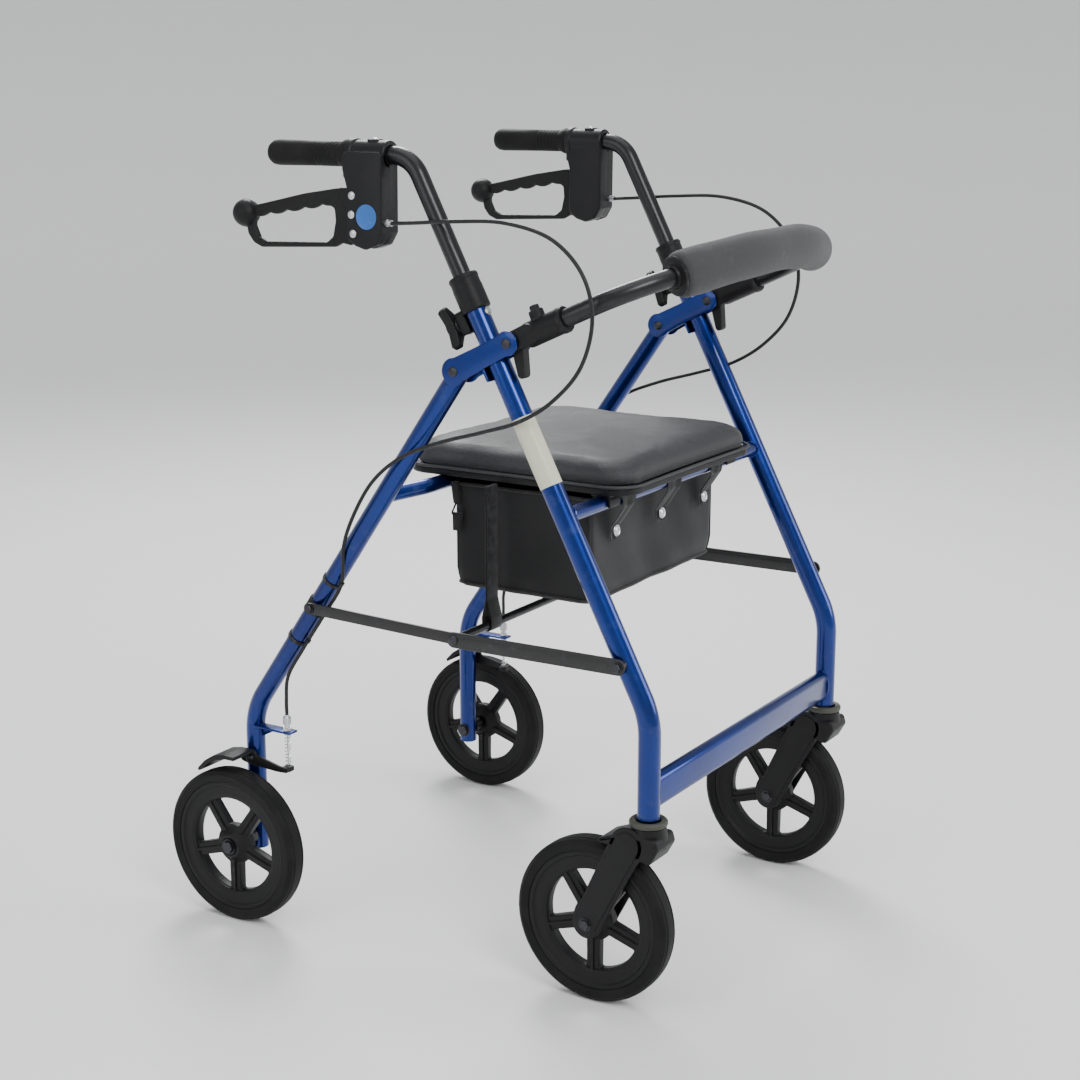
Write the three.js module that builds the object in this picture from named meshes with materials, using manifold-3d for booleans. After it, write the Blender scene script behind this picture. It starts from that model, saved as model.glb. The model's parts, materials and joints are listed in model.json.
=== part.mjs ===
// Folding four-wheel rollator walker, in millimetres, +Z up.
// The front (direction of travel) faces -Y and the user's right hand side is at -X.
// The origin is on the floor, under the middle of the outer box.
import * as THREE from "three";
import { mergeVertices } from "three/addons/utils/BufferGeometryUtils.js";
import Module from "manifold-3d";

const wasm = await Module();
wasm.setup();

// ---------------------------------------------------------------- driving dimensions
const GAP = 0.3; // between pieces that touch
const RUN = 0.45; // running clearance of a turning or sliding piece

// side frames
const TRACK = 242; // middle plane of each side frame from the centre
const LEG_R = 13; // front leg tube
const LEG_TILT = 27.3; // lean of the front leg from vertical, degrees
const LEG_FOOT_Z = 236; // lower end of the front leg, on its caster
const LEG_BEND_Z = 354; // where the leaning and the upright part meet
const LEG_BEND_R = 95;
const LEG_TOP_Z = 818;
const STEM_Y = -307; // upright part of the front leg, and the caster stem
const REAR_R = 12; // rear leg tube
const REAR_PIVOT = [-58, 724]; // fold pivot, y and z
const REAR_FOOT_Y = 262; // upright part of the rear leg
const REAR_FOOT_Z = 82;
const REAR_BEND_Z = 266;
const REAR_BEND_R = 90;
const PIN_R = 4; // rivets and shoulder bolts
const PIN_HEAD_R = 7;
const PIN_HEAD_T = 2.6;

// wheels
const WHEEL_R = 100;
const TYRE_T = 15; // radial thickness of the tyre
const TYRE_HALF = 15; // half width
const RIM_T = 23;
const RIM_HALF = 12;
const HUB_R = 22;
const SPOKES = 5;
const SPOKE_W = 17;
const SPOKE_HALF = 6;
const WHEEL_SIDES = 30;
const REAR_WHEEL_X = TRACK + 44;
const REAR_AXLE_R = 6;
const FRONT_AXLE_R = 4.5;
const TRAIL = 68; // caster hub behind its stem
const STEM_R = 6;
const STEM_L = 34;
const FORK_ARM_T = 5;
const FORK_GAP = 2.6; // between tyre and fork arm
const CROWN_T = 12;
const COLLAR_R = 22;
const FORK_LOW_R = 18; // radius of the fork arm's end round the axle
const FORK_TOP_R = 21;

// crossing tubes
const BAR_H = 40; // deep front crossbar
const BAR_T = 17;
const BAR_Z = 264;
const SEAT_TUBE_R = 9;
const FRONT_SEAT_Z = 570;
const REAR_SEAT_Z = 566;
const REAR_SEAT_DROP_Y = 27; // the rear seat tube steps forward of its legs by this much
const REAR_SEAT_STEP_X = 52;

// handles
const HANDLE_R = 10.5;
const HANDLE_Z = 961; // grip axis
const HANDLE_BEND_R = 40;
const HANDLE_IN = 150; // length of handle tube inside the leg
const HEIGHT_DOWN = 60; // travel of the height adjustment below the rest position
const GRIP_R = 14.5;
const GRIP_FRONT_Y = 89;
const GRIP_REAR_Y = 206;
const SLEEVE_R = 17;
const SLEEVE_L = 42;
const SLEEVE_UP = 14; // how far the clamp sleeve stands above the leg
const KNOB_R = 27;
const KNOB_T = 12;
const KNOB_DOWN = 34; // knob screw below the top of the leg, along the leg

// brake levers
const LEVER_OFF = 12; // lever plane outboard of the handle tube
const LEVER_T = 8;
const SLOT_HALF = 5;
const CHEEK_T = 4.5;
const SQUEEZE_PIVOT = [75, 916];
const PARK_PIVOT = [74, 873];
const BALL = [238, 890];
const BALL_R = 16.5;
const HOUSING_FRONT_Y = 34;
const CABLE_R = 2.3;
const CABLE_EXIT_Z = 886;

// backrest
const BACK_PIN = [-129, 761];
const BACK_SLOPE = 24.5; // rise of the backrest plane towards the front, degrees
const BACK_TUBE_R = 10.5;
const BACK_ARM_X = TRACK - 2;
const BACK_DEPTH = 228;
const PAD_R = 26;
const PAD_HALF = 176;
const SLEEVE_FROM = 26; // the hinge block holds the tube between these two distances from its pin
const SLEEVE_TO = 74;

// seat and bag
const SEAT_HALF = 172;
const SEAT_FRONT = 42; // overhang in front of the front seat tube
const SEAT_BACK = 279; // and behind it
const SEAT_BOARD_Z = 581;
const SEAT_BOARD_T = 8;
const CUSHION_T = 32;
const SEAT_CORNER = 30;
const BAG_HALF = 158;
const BAG_DROP = 128;

// folding links
const LINK_FRONT_Z = 413;
const LINK_REAR_Z = 417;
const KNEE_Y = -58;
const KNEE_Z = 411;
const LINK_T = 3.4;
const FRONT_LINK_W = 19;
const REAR_LINK_W = 14;
const ROD_R = 5;

// ---------------------------------------------------------------- derived places
const rad = (degrees) => (degrees * Math.PI) / 180;
const TILT = rad(LEG_TILT);
const legY = (z) => STEM_Y + (z - LEG_BEND_Z) * Math.tan(TILT);
const legPoint = (x, z) => new THREE.Vector3(x, legY(z), z);
const LEG_UP = new THREE.Vector3(0, Math.sin(TILT), Math.cos(TILT));
const LEG_BACK = new THREE.Vector3(0, Math.cos(TILT), -Math.sin(TILT));
const REAR_LEAN = Math.atan2(REAR_FOOT_Y - REAR_PIVOT[0], REAR_PIVOT[1] - REAR_BEND_Z);
const rearY = (z) => REAR_PIVOT[0] + (REAR_PIVOT[1] - z) * Math.tan(REAR_LEAN);
const REAR_DOWN = new THREE.Vector3(0, Math.sin(REAR_LEAN), -Math.cos(REAR_LEAN));
const FRONT_SEAT_Y = legY(FRONT_SEAT_Z);
const HALF_STEP = Math.PI / WHEEL_SIDES;
const HUB_Z = WHEEL_R * Math.cos(HALF_STEP); // the wheels stand on a flat of their outline
const CASTER_Y = STEM_Y + TRAIL;
const BRACKET_IN = Math.max(LEG_R, REAR_R) + 0.5; // inner face of the side bracket, from TRACK
const BRACKET_T = 2.5;
const REAR_LINK_X = LEG_R + 1.2; // inner face of the rear link, from TRACK
const FRONT_LINK_X = REAR_LINK_X + LINK_T + 0.7;
const SLOPE = rad(BACK_SLOPE);
const backAt = (x, d, up = 0) =>
  new THREE.Vector3(
    x,
    BACK_PIN[0] - d * Math.cos(SLOPE) + up * Math.sin(SLOPE),
    BACK_PIN[1] + d * Math.sin(SLOPE) + up * Math.cos(SLOPE),
  );

// ---------------------------------------------------------------- helpers
function toSolid(geometry) {
  const plain = geometry.clone();
  plain.deleteAttribute("normal");
  plain.deleteAttribute("uv");
  const merged = mergeVertices(plain, 1e-4);
  const mesh = new wasm.Mesh({
    numProp: 3,
    vertProperties: Float32Array.from(merged.attributes.position.array),
    triVerts: Uint32Array.from(merged.index.array),
  });
  return new wasm.Manifold(mesh);
}

function toGeometry(solid) {
  const mesh = solid.getMesh();
  const geometry = new THREE.BufferGeometry();
  geometry.setAttribute("position", new THREE.BufferAttribute(Float32Array.from(mesh.vertProperties), 3));
  geometry.setIndex(new THREE.BufferAttribute(Uint32Array.from(mesh.triVerts), 1));
  geometry.computeVertexNormals();
  return geometry;
}

function join(first, ...others) {
  return toGeometry(others.reduce((sum, next) => sum.add(toSolid(next)), toSolid(first)));
}

function cut(first, ...others) {
  return toGeometry(others.reduce((left, next) => left.subtract(toSolid(next)), toSolid(first)));
}

// A path given by its stations: straight runs need only their two ends.
class StationPath extends THREE.Curve {
  constructor(points) {
    super();
    this.points = points;
    this.last = points.length - 1;
  }

  getPoint(t, target = new THREE.Vector3()) {
    const at = Math.min(Math.max(t * this.last, 0), this.last);
    const low = Math.min(Math.floor(at + 1e-9), this.last - 1);
    return target.lerpVectors(this.points[low], this.points[low + 1], at - low);
  }

  getPointAt(t, target) {
    return this.getPoint(t, target);
  }

  getTangentAt(t, target = new THREE.Vector3()) {
    const at = Math.round(t * this.last);
    const before = this.points[Math.max(at - 1, 0)];
    const here = this.points[at];
    const after = this.points[Math.min(at + 1, this.last)];
    const into = here.clone().sub(before).normalize();
    const out = after.clone().sub(here).normalize();
    return target.addVectors(into, out).normalize();
  }
}

// Corners joined by straight runs, with each inner corner rounded by an arc.
function bentPoints(corners, radius, steps = 5) {
  const points = [corners[0].clone()];
  for (let i = 1; i < corners.length - 1; i += 1) {
    const into = corners[i].clone().sub(corners[i - 1]);
    const out = corners[i + 1].clone().sub(corners[i]);
    const room = Math.min(into.length(), out.length()) * 0.49;
    into.normalize();
    out.normalize();
    const turn = into.angleTo(out);
    if (turn < 1e-4) continue;
    const reach = Math.min(radius * Math.tan(turn / 2), room);
    const r = reach / Math.tan(turn / 2);
    const start = corners[i].clone().addScaledVector(into, -reach);
    const inward = out.clone().addScaledVector(into, -out.dot(into)).normalize();
    const centre = start.clone().addScaledVector(inward, r);
    for (let k = 0; k <= steps; k += 1) {
      const a = (turn * k) / steps;
      points.push(
        centre
          .clone()
          .addScaledVector(inward, -r * Math.cos(a))
          .addScaledVector(into, r * Math.sin(a)),
      );
    }
  }
  points.push(corners[corners.length - 1].clone());
  return points;
}

function ringShape(radius, sides) {
  const points = [];
  for (let i = 0; i < sides; i += 1) {
    const a = ((i + 0.5) / sides) * 2 * Math.PI;
    points.push(new THREE.Vector2(radius * Math.cos(a), radius * Math.sin(a)));
  }
  return new THREE.Shape(points);
}

function sweep(points, radius, sides = 12) {
  const path = new StationPath(points);
  return new THREE.ExtrudeGeometry(ringShape(radius, sides), {
    steps: points.length - 1,
    extrudePath: path,
    bevelEnabled: false,
  });
}

const bentTube = (corners, bend, radius, sides, steps) =>
  sweep(bentPoints(corners, bend, steps), radius, sides);
const rodBetween = (from, to, radius, sides) => sweep([from, to], radius, sides);
const crossRod = (x0, x1, y, z, radius, sides = 14) =>
  rodBetween(new THREE.Vector3(x0, y, z), new THREE.Vector3(x1, y, z), radius, sides);

// A plate drawn in the side view (y, z) and given its thickness along X.
function plate(shape, x0, x1) {
  const low = Math.min(x0, x1);
  const geometry = new THREE.ExtrudeGeometry(shape, {
    depth: Math.abs(x1 - x0),
    bevelEnabled: false,
    curveSegments: 4,
  });
  const turn = new THREE.Matrix4().set(0, 0, 1, low, 1, 0, 0, 0, 0, 1, 0, 0, 0, 0, 0, 1);
  geometry.applyMatrix4(turn);
  return geometry;
}

function box(x0, x1, y0, y1, z0, z1) {
  const geometry = new THREE.BoxGeometry(Math.abs(x1 - x0), Math.abs(y1 - y0), Math.abs(z1 - z0));
  geometry.translate((x0 + x1) / 2, (y0 + y1) / 2, (z0 + z1) / 2);
  return geometry;
}

// Outline of two round ends joined by straight sides.
function linkShape(a, b, ra, rb, steps = 6) {
  const along = Math.atan2(b[1] - a[1], b[0] - a[0]);
  const length = Math.hypot(b[0] - a[0], b[1] - a[1]);
  const spread = Math.acos((ra - rb) / length);
  const points = [];
  for (let i = 0; i <= steps; i += 1) {
    const t = along + spread + ((2 * Math.PI - 2 * spread) * i) / steps;
    points.push(new THREE.Vector2(a[0] + ra * Math.cos(t), a[1] + ra * Math.sin(t)));
  }
  for (let i = 0; i <= steps; i += 1) {
    const t = along - spread + (2 * spread * i) / steps;
    points.push(new THREE.Vector2(b[0] + rb * Math.cos(t), b[1] + rb * Math.sin(t)));
  }
  return new THREE.Shape(points);
}

const polygon = (points) => new THREE.Shape(points.map(([y, z]) => new THREE.Vector2(y, z)));

// A turned piece: the profile is (radius, distance along the axis).
function turned(profile, sides, axis, at) {
  const geometry = new THREE.LatheGeometry(
    profile.map(([r, h]) => new THREE.Vector2(r, h)),
    sides,
  );
  const up = new THREE.Vector3(0, 1, 0);
  const spin = new THREE.Quaternion().setFromUnitVectors(up, axis.clone().normalize());
  geometry.applyQuaternion(spin);
  geometry.translate(at.x, at.y, at.z);
  return geometry;
}

// A closed profile must run so that its faces point out.
function turnedRing(profile, sides, axis, at) {
  return turned([...profile, profile[0]], sides, axis, at);
}

const colours = {
  blue: { color: 0x0d3fa8, roughness: 0.25, metalness: 0.6 },
  black: { color: 0x141416, roughness: 0.5, metalness: 0.0 },
  satin: { color: 0x1b1c1e, roughness: 0.35, metalness: 0.4 },
  rubber: { color: 0x101010, roughness: 0.85, metalness: 0.0 },
  foam: { color: 0x5f6064, roughness: 0.95, metalness: 0.0 },
  vinyl: { color: 0x2b2c2f, roughness: 0.7, metalness: 0.0 },
  nylon: { color: 0x0e0e10, roughness: 0.9, metalness: 0.0 },
  steel: { color: 0xb9bcc0, roughness: 0.3, metalness: 0.9 },
};

const root = new THREE.Group();
function add(name, geometry, look, position, parent = root) {
  const mesh = new THREE.Mesh(geometry, new THREE.MeshStandardMaterial(colours[look]));
  mesh.name = name;
  if (position) mesh.position.copy(position);
  parent.add(mesh);
  return mesh;
}

const X = new THREE.Vector3(1, 0, 0);
const Y = new THREE.Vector3(0, 1, 0);
const Z = new THREE.Vector3(0, 0, 1);
const SIDES = [
  ["right", -1],
  ["left", 1],
];

// ---------------------------------------------------------------- wheels
function wheelPieces() {
  const tyreIn = WHEEL_R - TYRE_T;
  const tyre = turnedRing(
    [
      [tyreIn, -TYRE_HALF + 2],
      [WHEEL_R - 5, -TYRE_HALF],
      [WHEEL_R, -TYRE_HALF + 7],
      [WHEEL_R, TYRE_HALF - 7],
      [WHEEL_R - 5, TYRE_HALF],
      [tyreIn, TYRE_HALF - 2],
    ],
    WHEEL_SIDES,
    X,
    new THREE.Vector3(),
  );
  const rimOut = (tyreIn - GAP) * Math.cos(Math.PI / WHEEL_SIDES);
  const rim = turnedRing(
    [
      [rimOut - RIM_T, -RIM_HALF + 3],
      [rimOut, -RIM_HALF],
      [rimOut, RIM_HALF],
      [rimOut - RIM_T, RIM_HALF - 3],
    ],
    WHEEL_SIDES,
    X,
    new THREE.Vector3(),
  );
  const flatDown = HALF_STEP;
  tyre.rotateX(flatDown);
  rim.rotateX(flatDown);
  return { tyre, rim, rimOut };
}

function hub(boreR, half) {
  const { rim, rimOut } = wheelPieces();
  const barrel = rodBetween(new THREE.Vector3(-half, 0, 0), new THREE.Vector3(half, 0, 0), HUB_R, 16);
  let solid = toSolid(rim).add(toSolid(barrel));
  for (let i = 0; i < SPOKES; i += 1) {
    const spoke = new THREE.BoxGeometry(2 * SPOKE_HALF, SPOKE_W, rimOut - 3);
    spoke.translate(0, 0, (rimOut - 3) / 2);
    spoke.rotateX(Math.PI + (2 * Math.PI * i) / SPOKES);
    solid = solid.add(toSolid(spoke));
  }
  const bore = crossRod(-half - 1, half + 1, 0, 0, boreR + RUN, 12);
  return toGeometry(solid.subtract(toSolid(bore)));
}

const REAR_HUB_HALF = REAR_WHEEL_X - TRACK - REAR_R - 17;
const FRONT_HUB_HALF = TYRE_HALF + 1.5;
for (const [side, s] of SIDES) {
  const rearAt = new THREE.Vector3(s * REAR_WHEEL_X, REAR_FOOT_Y, HUB_Z);
  const frontAt = new THREE.Vector3(s * TRACK, CASTER_Y, HUB_Z);
  add(`rear_tyre_${side}`, wheelPieces().tyre, "rubber", rearAt);
  add(`rear_hub_${side}`, hub(REAR_AXLE_R, REAR_HUB_HALF), "black", rearAt);
  add(`front_tyre_${side}`, wheelPieces().tyre, "rubber", frontAt);
  add(`front_hub_${side}`, hub(FRONT_AXLE_R, FRONT_HUB_HALF), "black", frontAt);
}

// ---------------------------------------------------------------- casters
const ARM_IN = TYRE_HALF + FORK_GAP;
const ARM_OUT = ARM_IN + FORK_ARM_T;
const CROWN_LOW = WHEEL_R + HUB_Z + 4;
const crownTop = CROWN_LOW + CROWN_T;
for (const [side, s] of SIDES) {
  const cx = s * TRACK;
  const armShape = linkShape([CASTER_Y, HUB_Z], [STEM_Y + 16, CROWN_LOW + 3], FORK_LOW_R, FORK_TOP_R);
  const collarTop = LEG_FOOT_Z - RUN;
  const collar = rodBetween(
    new THREE.Vector3(cx, STEM_Y, CROWN_LOW + 2),
    new THREE.Vector3(cx, STEM_Y, collarTop),
    COLLAR_R,
    14,
  );
  const stem = rodBetween(
    new THREE.Vector3(cx, STEM_Y, collarTop - 2),
    new THREE.Vector3(cx, STEM_Y, collarTop + STEM_L),
    STEM_R,
    10,
  );
  const crown = plate(
    polygon([
      [STEM_Y - 24, CROWN_LOW + 4],
      [STEM_Y - 13, CROWN_LOW - 16],
      [STEM_Y + 6, CROWN_LOW - 12],
      [STEM_Y + 30, CROWN_LOW - 3],
      [CASTER_Y - 12, CROWN_LOW],
      [CASTER_Y - 16, CROWN_LOW + 5],
      [STEM_Y + 24, crownTop + 3],
      [STEM_Y - 20, crownTop + 3],
    ]),
    cx - ARM_OUT,
    cx + ARM_OUT,
  );
  const fork = join(
    crown,
    collar,
    stem,
    plate(armShape, cx + ARM_IN, cx + ARM_OUT),
    plate(armShape, cx - ARM_OUT, cx - ARM_IN),
  );
  const axleHole = crossRod(cx - 40, cx + 40, CASTER_Y, HUB_Z, FRONT_AXLE_R + GAP, 12);
  add(`caster_fork_${side}`, cut(fork, axleHole), "black");
  const axle = join(
    crossRod(cx - ARM_OUT - 1, cx + ARM_OUT + 1, CASTER_Y, HUB_Z, FRONT_AXLE_R, 10),
    crossRod(cx - ARM_OUT - 3.4, cx - ARM_OUT - GAP, CASTER_Y, HUB_Z, FRONT_AXLE_R + 4, 6),
    crossRod(cx + ARM_OUT + GAP, cx + ARM_OUT + 3.4, CASTER_Y, HUB_Z, FRONT_AXLE_R + 4, 6),
  );
  add(`front_axle_${side}`, axle, "steel");
}

// ---------------------------------------------------------------- front legs
const legTop = (x) => legPoint(x, LEG_TOP_Z);
function frontLegCorners(x) {
  return [
    new THREE.Vector3(x, STEM_Y, LEG_FOOT_Z),
    new THREE.Vector3(x, STEM_Y, LEG_BEND_Z),
    legTop(x),
  ];
}
const fatFrontLeg = (x) => bentTube(frontLegCorners(x), LEG_BEND_R, LEG_R + GAP, 12, 4);

for (const [side, s] of SIDES) {
  const cx = s * TRACK;
  const tube = bentTube(frontLegCorners(cx), LEG_BEND_R, LEG_R, 12, 4);
  const top = legTop(cx);
  const bore = rodBetween(
    top.clone().addScaledVector(LEG_UP, 5),
    top.clone().addScaledVector(LEG_UP, -(HANDLE_IN + HEIGHT_DOWN + 6)),
    HANDLE_R + RUN,
    14,
  );
  const stemHole = rodBetween(
    new THREE.Vector3(cx, STEM_Y, LEG_FOOT_Z - 2),
    new THREE.Vector3(cx, STEM_Y, LEG_FOOT_Z + STEM_L + 4),
    STEM_R + RUN,
    10,
  );
  // shoulder bolt of the front link
  const y = legY(LINK_FRONT_Z);
  const out = (d) => cx + s * d;
  const washer = crossRod(out(LEG_R - 3), out(FRONT_LINK_X - GAP), y, LINK_FRONT_Z, PIN_HEAD_R, 10);
  const bolt = crossRod(out(LEG_R), out(FRONT_LINK_X + LINK_T + GAP + 1), y, LINK_FRONT_Z, PIN_R, 10);
  const head = crossRod(
    out(FRONT_LINK_X + LINK_T + GAP),
    out(FRONT_LINK_X + LINK_T + GAP + PIN_HEAD_T),
    y,
    LINK_FRONT_Z,
    PIN_HEAD_R,
    10,
  );
  const body = join(tube, washer, bolt, head);
  add(`front_leg_${side}`, cut(body, bore, stemHole), "blue");
}

// deep flattened crossbar between the two upright parts
{
  const shape = new THREE.Shape();
  const h = BAR_H / 2;
  const t = BAR_T / 2;
  const points = [];
  for (const [cz, from] of [
    [h - t, 0],
    [-(h - t), Math.PI],
  ]) {
    for (let i = 0; i <= 6; i += 1) {
      const a = from + (Math.PI * i) / 6;
      points.push(new THREE.Vector2(STEM_Y + t * Math.cos(a), BAR_Z + cz + t * Math.sin(a)));
    }
  }
  shape.setFromPoints(points);
  const bar = plate(shape, -TRACK, TRACK);
  add("front_crossbar", cut(bar, fatFrontLeg(-TRACK), fatFrontLeg(TRACK)), "blue");
}

// front seat tube
{
  const tube = crossRod(-TRACK, TRACK, FRONT_SEAT_Y, FRONT_SEAT_Z, SEAT_TUBE_R, 14);
  add("front_seat_tube", cut(tube, fatFrontLeg(-TRACK), fatFrontLeg(TRACK)), "blue");
}

// ---------------------------------------------------------------- side brackets
for (const [side, s] of SIDES) {
  const cx = s * TRACK;
  const outline = linkShape(REAR_PIVOT, BACK_PIN, 16, 14, 8);
  const cheek = (sign) => plate(outline, cx + sign * BRACKET_IN, cx + sign * (BRACKET_IN + BRACKET_T));
  const mid = (REAR_PIVOT[1] + BACK_PIN[1]) / 2;
  // strip that joins both cheeks behind the leg
  const at = legPoint(cx, mid - 9);
  const web = new THREE.BoxGeometry(2 * BRACKET_IN + 1, 3, 24);
  web.applyMatrix4(new THREE.Matrix4().makeRotationX(-TILT));
  const off = LEG_R + GAP + 1.8;
  web.translate(at.x, at.y + LEG_BACK.y * off, at.z + LEG_BACK.z * off);
  const pins = [REAR_PIVOT, BACK_PIN].flatMap(([y, z]) => [
    crossRod(cx - BRACKET_IN - 1, cx + BRACKET_IN + 1, y, z, PIN_R, 10),
    crossRod(cx + s * (BRACKET_IN + 1), cx + s * (BRACKET_IN + BRACKET_T + 1.6), y, z, PIN_HEAD_R - 1.5, 10),
  ]);
  add(`side_bracket_${side}`, join(cheek(1), cheek(-1), web, ...pins), "blue");
}

// ---------------------------------------------------------------- height adjustment
for (const [side, s] of SIDES) {
  const cx = s * TRACK;
  const top = legTop(cx);
  const low = SLEEVE_UP - SLEEVE_L;
  const sleeve = turnedRing(
    [
      [LEG_R + GAP + 0.4, low],
      [SLEEVE_R, low],
      [SLEEVE_R, SLEEVE_UP - 3],
      [SLEEVE_R - 2, SLEEVE_UP],
      [HANDLE_R + RUN + 0.2, SLEEVE_UP],
      [HANDLE_R + RUN + 0.2, GAP + 0.4],
      [LEG_R + GAP + 0.4, GAP + 0.4],
    ],
    16,
    LEG_UP,
    top,
  );
  // lug that carries the screw of the knob, behind the leg
  const lugAt = top.clone().addScaledVector(LEG_UP, -KNOB_DOWN);
  const lug = new THREE.BoxGeometry(18, 12, 26);
  lug.rotateX(-TILT);
  const lugOff = LEG_R + GAP + 0.4 + 6;
  lug.translate(lugAt.x, lugAt.y + LEG_BACK.y * lugOff, lugAt.z + LEG_BACK.z * lugOff);
  const lugEnd = lugOff + 6;
  const screwHole = rodBetween(
    lugAt.clone().addScaledVector(LEG_BACK, LEG_R + 1),
    lugAt.clone().addScaledVector(LEG_BACK, lugEnd + 3),
    3 + RUN,
    10,
  );
  const legRoom = fatFrontLeg(cx);
  add(`height_collar_${side}`, cut(join(sleeve, lug), screwHole, legRoom), "black");

  // three-winged knob on its screw
  const wing = new THREE.Shape();
  const points = [];
  for (let i = 0; i < 3; i += 1) {
    const a = (2 * Math.PI * i) / 3;
    points.push(new THREE.Vector2(KNOB_R * Math.cos(a - 0.14), KNOB_R * Math.sin(a - 0.14)));
    points.push(new THREE.Vector2(KNOB_R * Math.cos(a + 0.14), KNOB_R * Math.sin(a + 0.14)));
    points.push(new THREE.Vector2(KNOB_R * 0.52 * Math.cos(a + 0.6), KNOB_R * 0.52 * Math.sin(a + 0.6)));
    points.push(new THREE.Vector2(KNOB_R * 0.52 * Math.cos(a + 1.5), KNOB_R * 0.52 * Math.sin(a + 1.5)));
  }
  wing.setFromPoints(points);
  const star = new THREE.ExtrudeGeometry(wing, { depth: KNOB_T, bevelEnabled: false });
  const spin = new THREE.Quaternion().setFromUnitVectors(Z, LEG_BACK);
  star.applyQuaternion(spin);
  const starAt = lugAt.clone().addScaledVector(LEG_BACK, lugEnd + 3);
  star.translate(starAt.x, starAt.y, starAt.z);
  const screw = rodBetween(
    lugAt.clone().addScaledVector(LEG_BACK, LEG_R + GAP + 1.2),
    lugAt.clone().addScaledVector(LEG_BACK, lugEnd + 5),
    3,
    10,
  );
  const boss = rodBetween(
    lugAt.clone().addScaledVector(LEG_BACK, lugEnd + GAP + 0.3),
    lugAt.clone().addScaledVector(LEG_BACK, lugEnd + KNOB_T),
    9,
    12,
  );
  add(`height_knob_${side}`, join(star, boss, screw), "black");
}

// ---------------------------------------------------------------- handles
const bendCornerZ = HANDLE_Z;
for (const [side, s] of SIDES) {
  const cx = s * TRACK;
  const low = legTop(cx).addScaledVector(LEG_UP, -HANDLE_IN);
  const corner = legPoint(cx, bendCornerZ);
  const end = new THREE.Vector3(cx, GRIP_REAR_Y - 8, HANDLE_Z);
  add(`handle_tube_${side}`, bentTube([low, corner, end], HANDLE_BEND_R, HANDLE_R, 14, 6), "satin");

  const grip = turnedRing(
    [
      [HANDLE_R + GAP + 0.3, GRIP_FRONT_Y],
      [GRIP_R + 1.5, GRIP_FRONT_Y],
      [GRIP_R + 1, GRIP_FRONT_Y + 8],
      [GRIP_R - 0.5, GRIP_FRONT_Y + 30],
      [GRIP_R, GRIP_FRONT_Y + 75],
      [GRIP_R + 0.5, GRIP_REAR_Y - 6],
      [GRIP_R - 2.5, GRIP_REAR_Y],
      [HANDLE_R + GAP + 0.3, GRIP_REAR_Y],
    ],
    16,
    Y,
    new THREE.Vector3(cx, 0, HANDLE_Z),
  );
  const capFront = GRIP_REAR_Y - 8 + GAP + 0.4;
  const cap = rodBetween(
    new THREE.Vector3(cx, capFront, HANDLE_Z),
    new THREE.Vector3(cx, GRIP_REAR_Y, HANDLE_Z),
    HANDLE_R + 1.5,
    16,
  );
  add(`grip_${side}`, join(grip, cap), "rubber");
}

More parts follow.
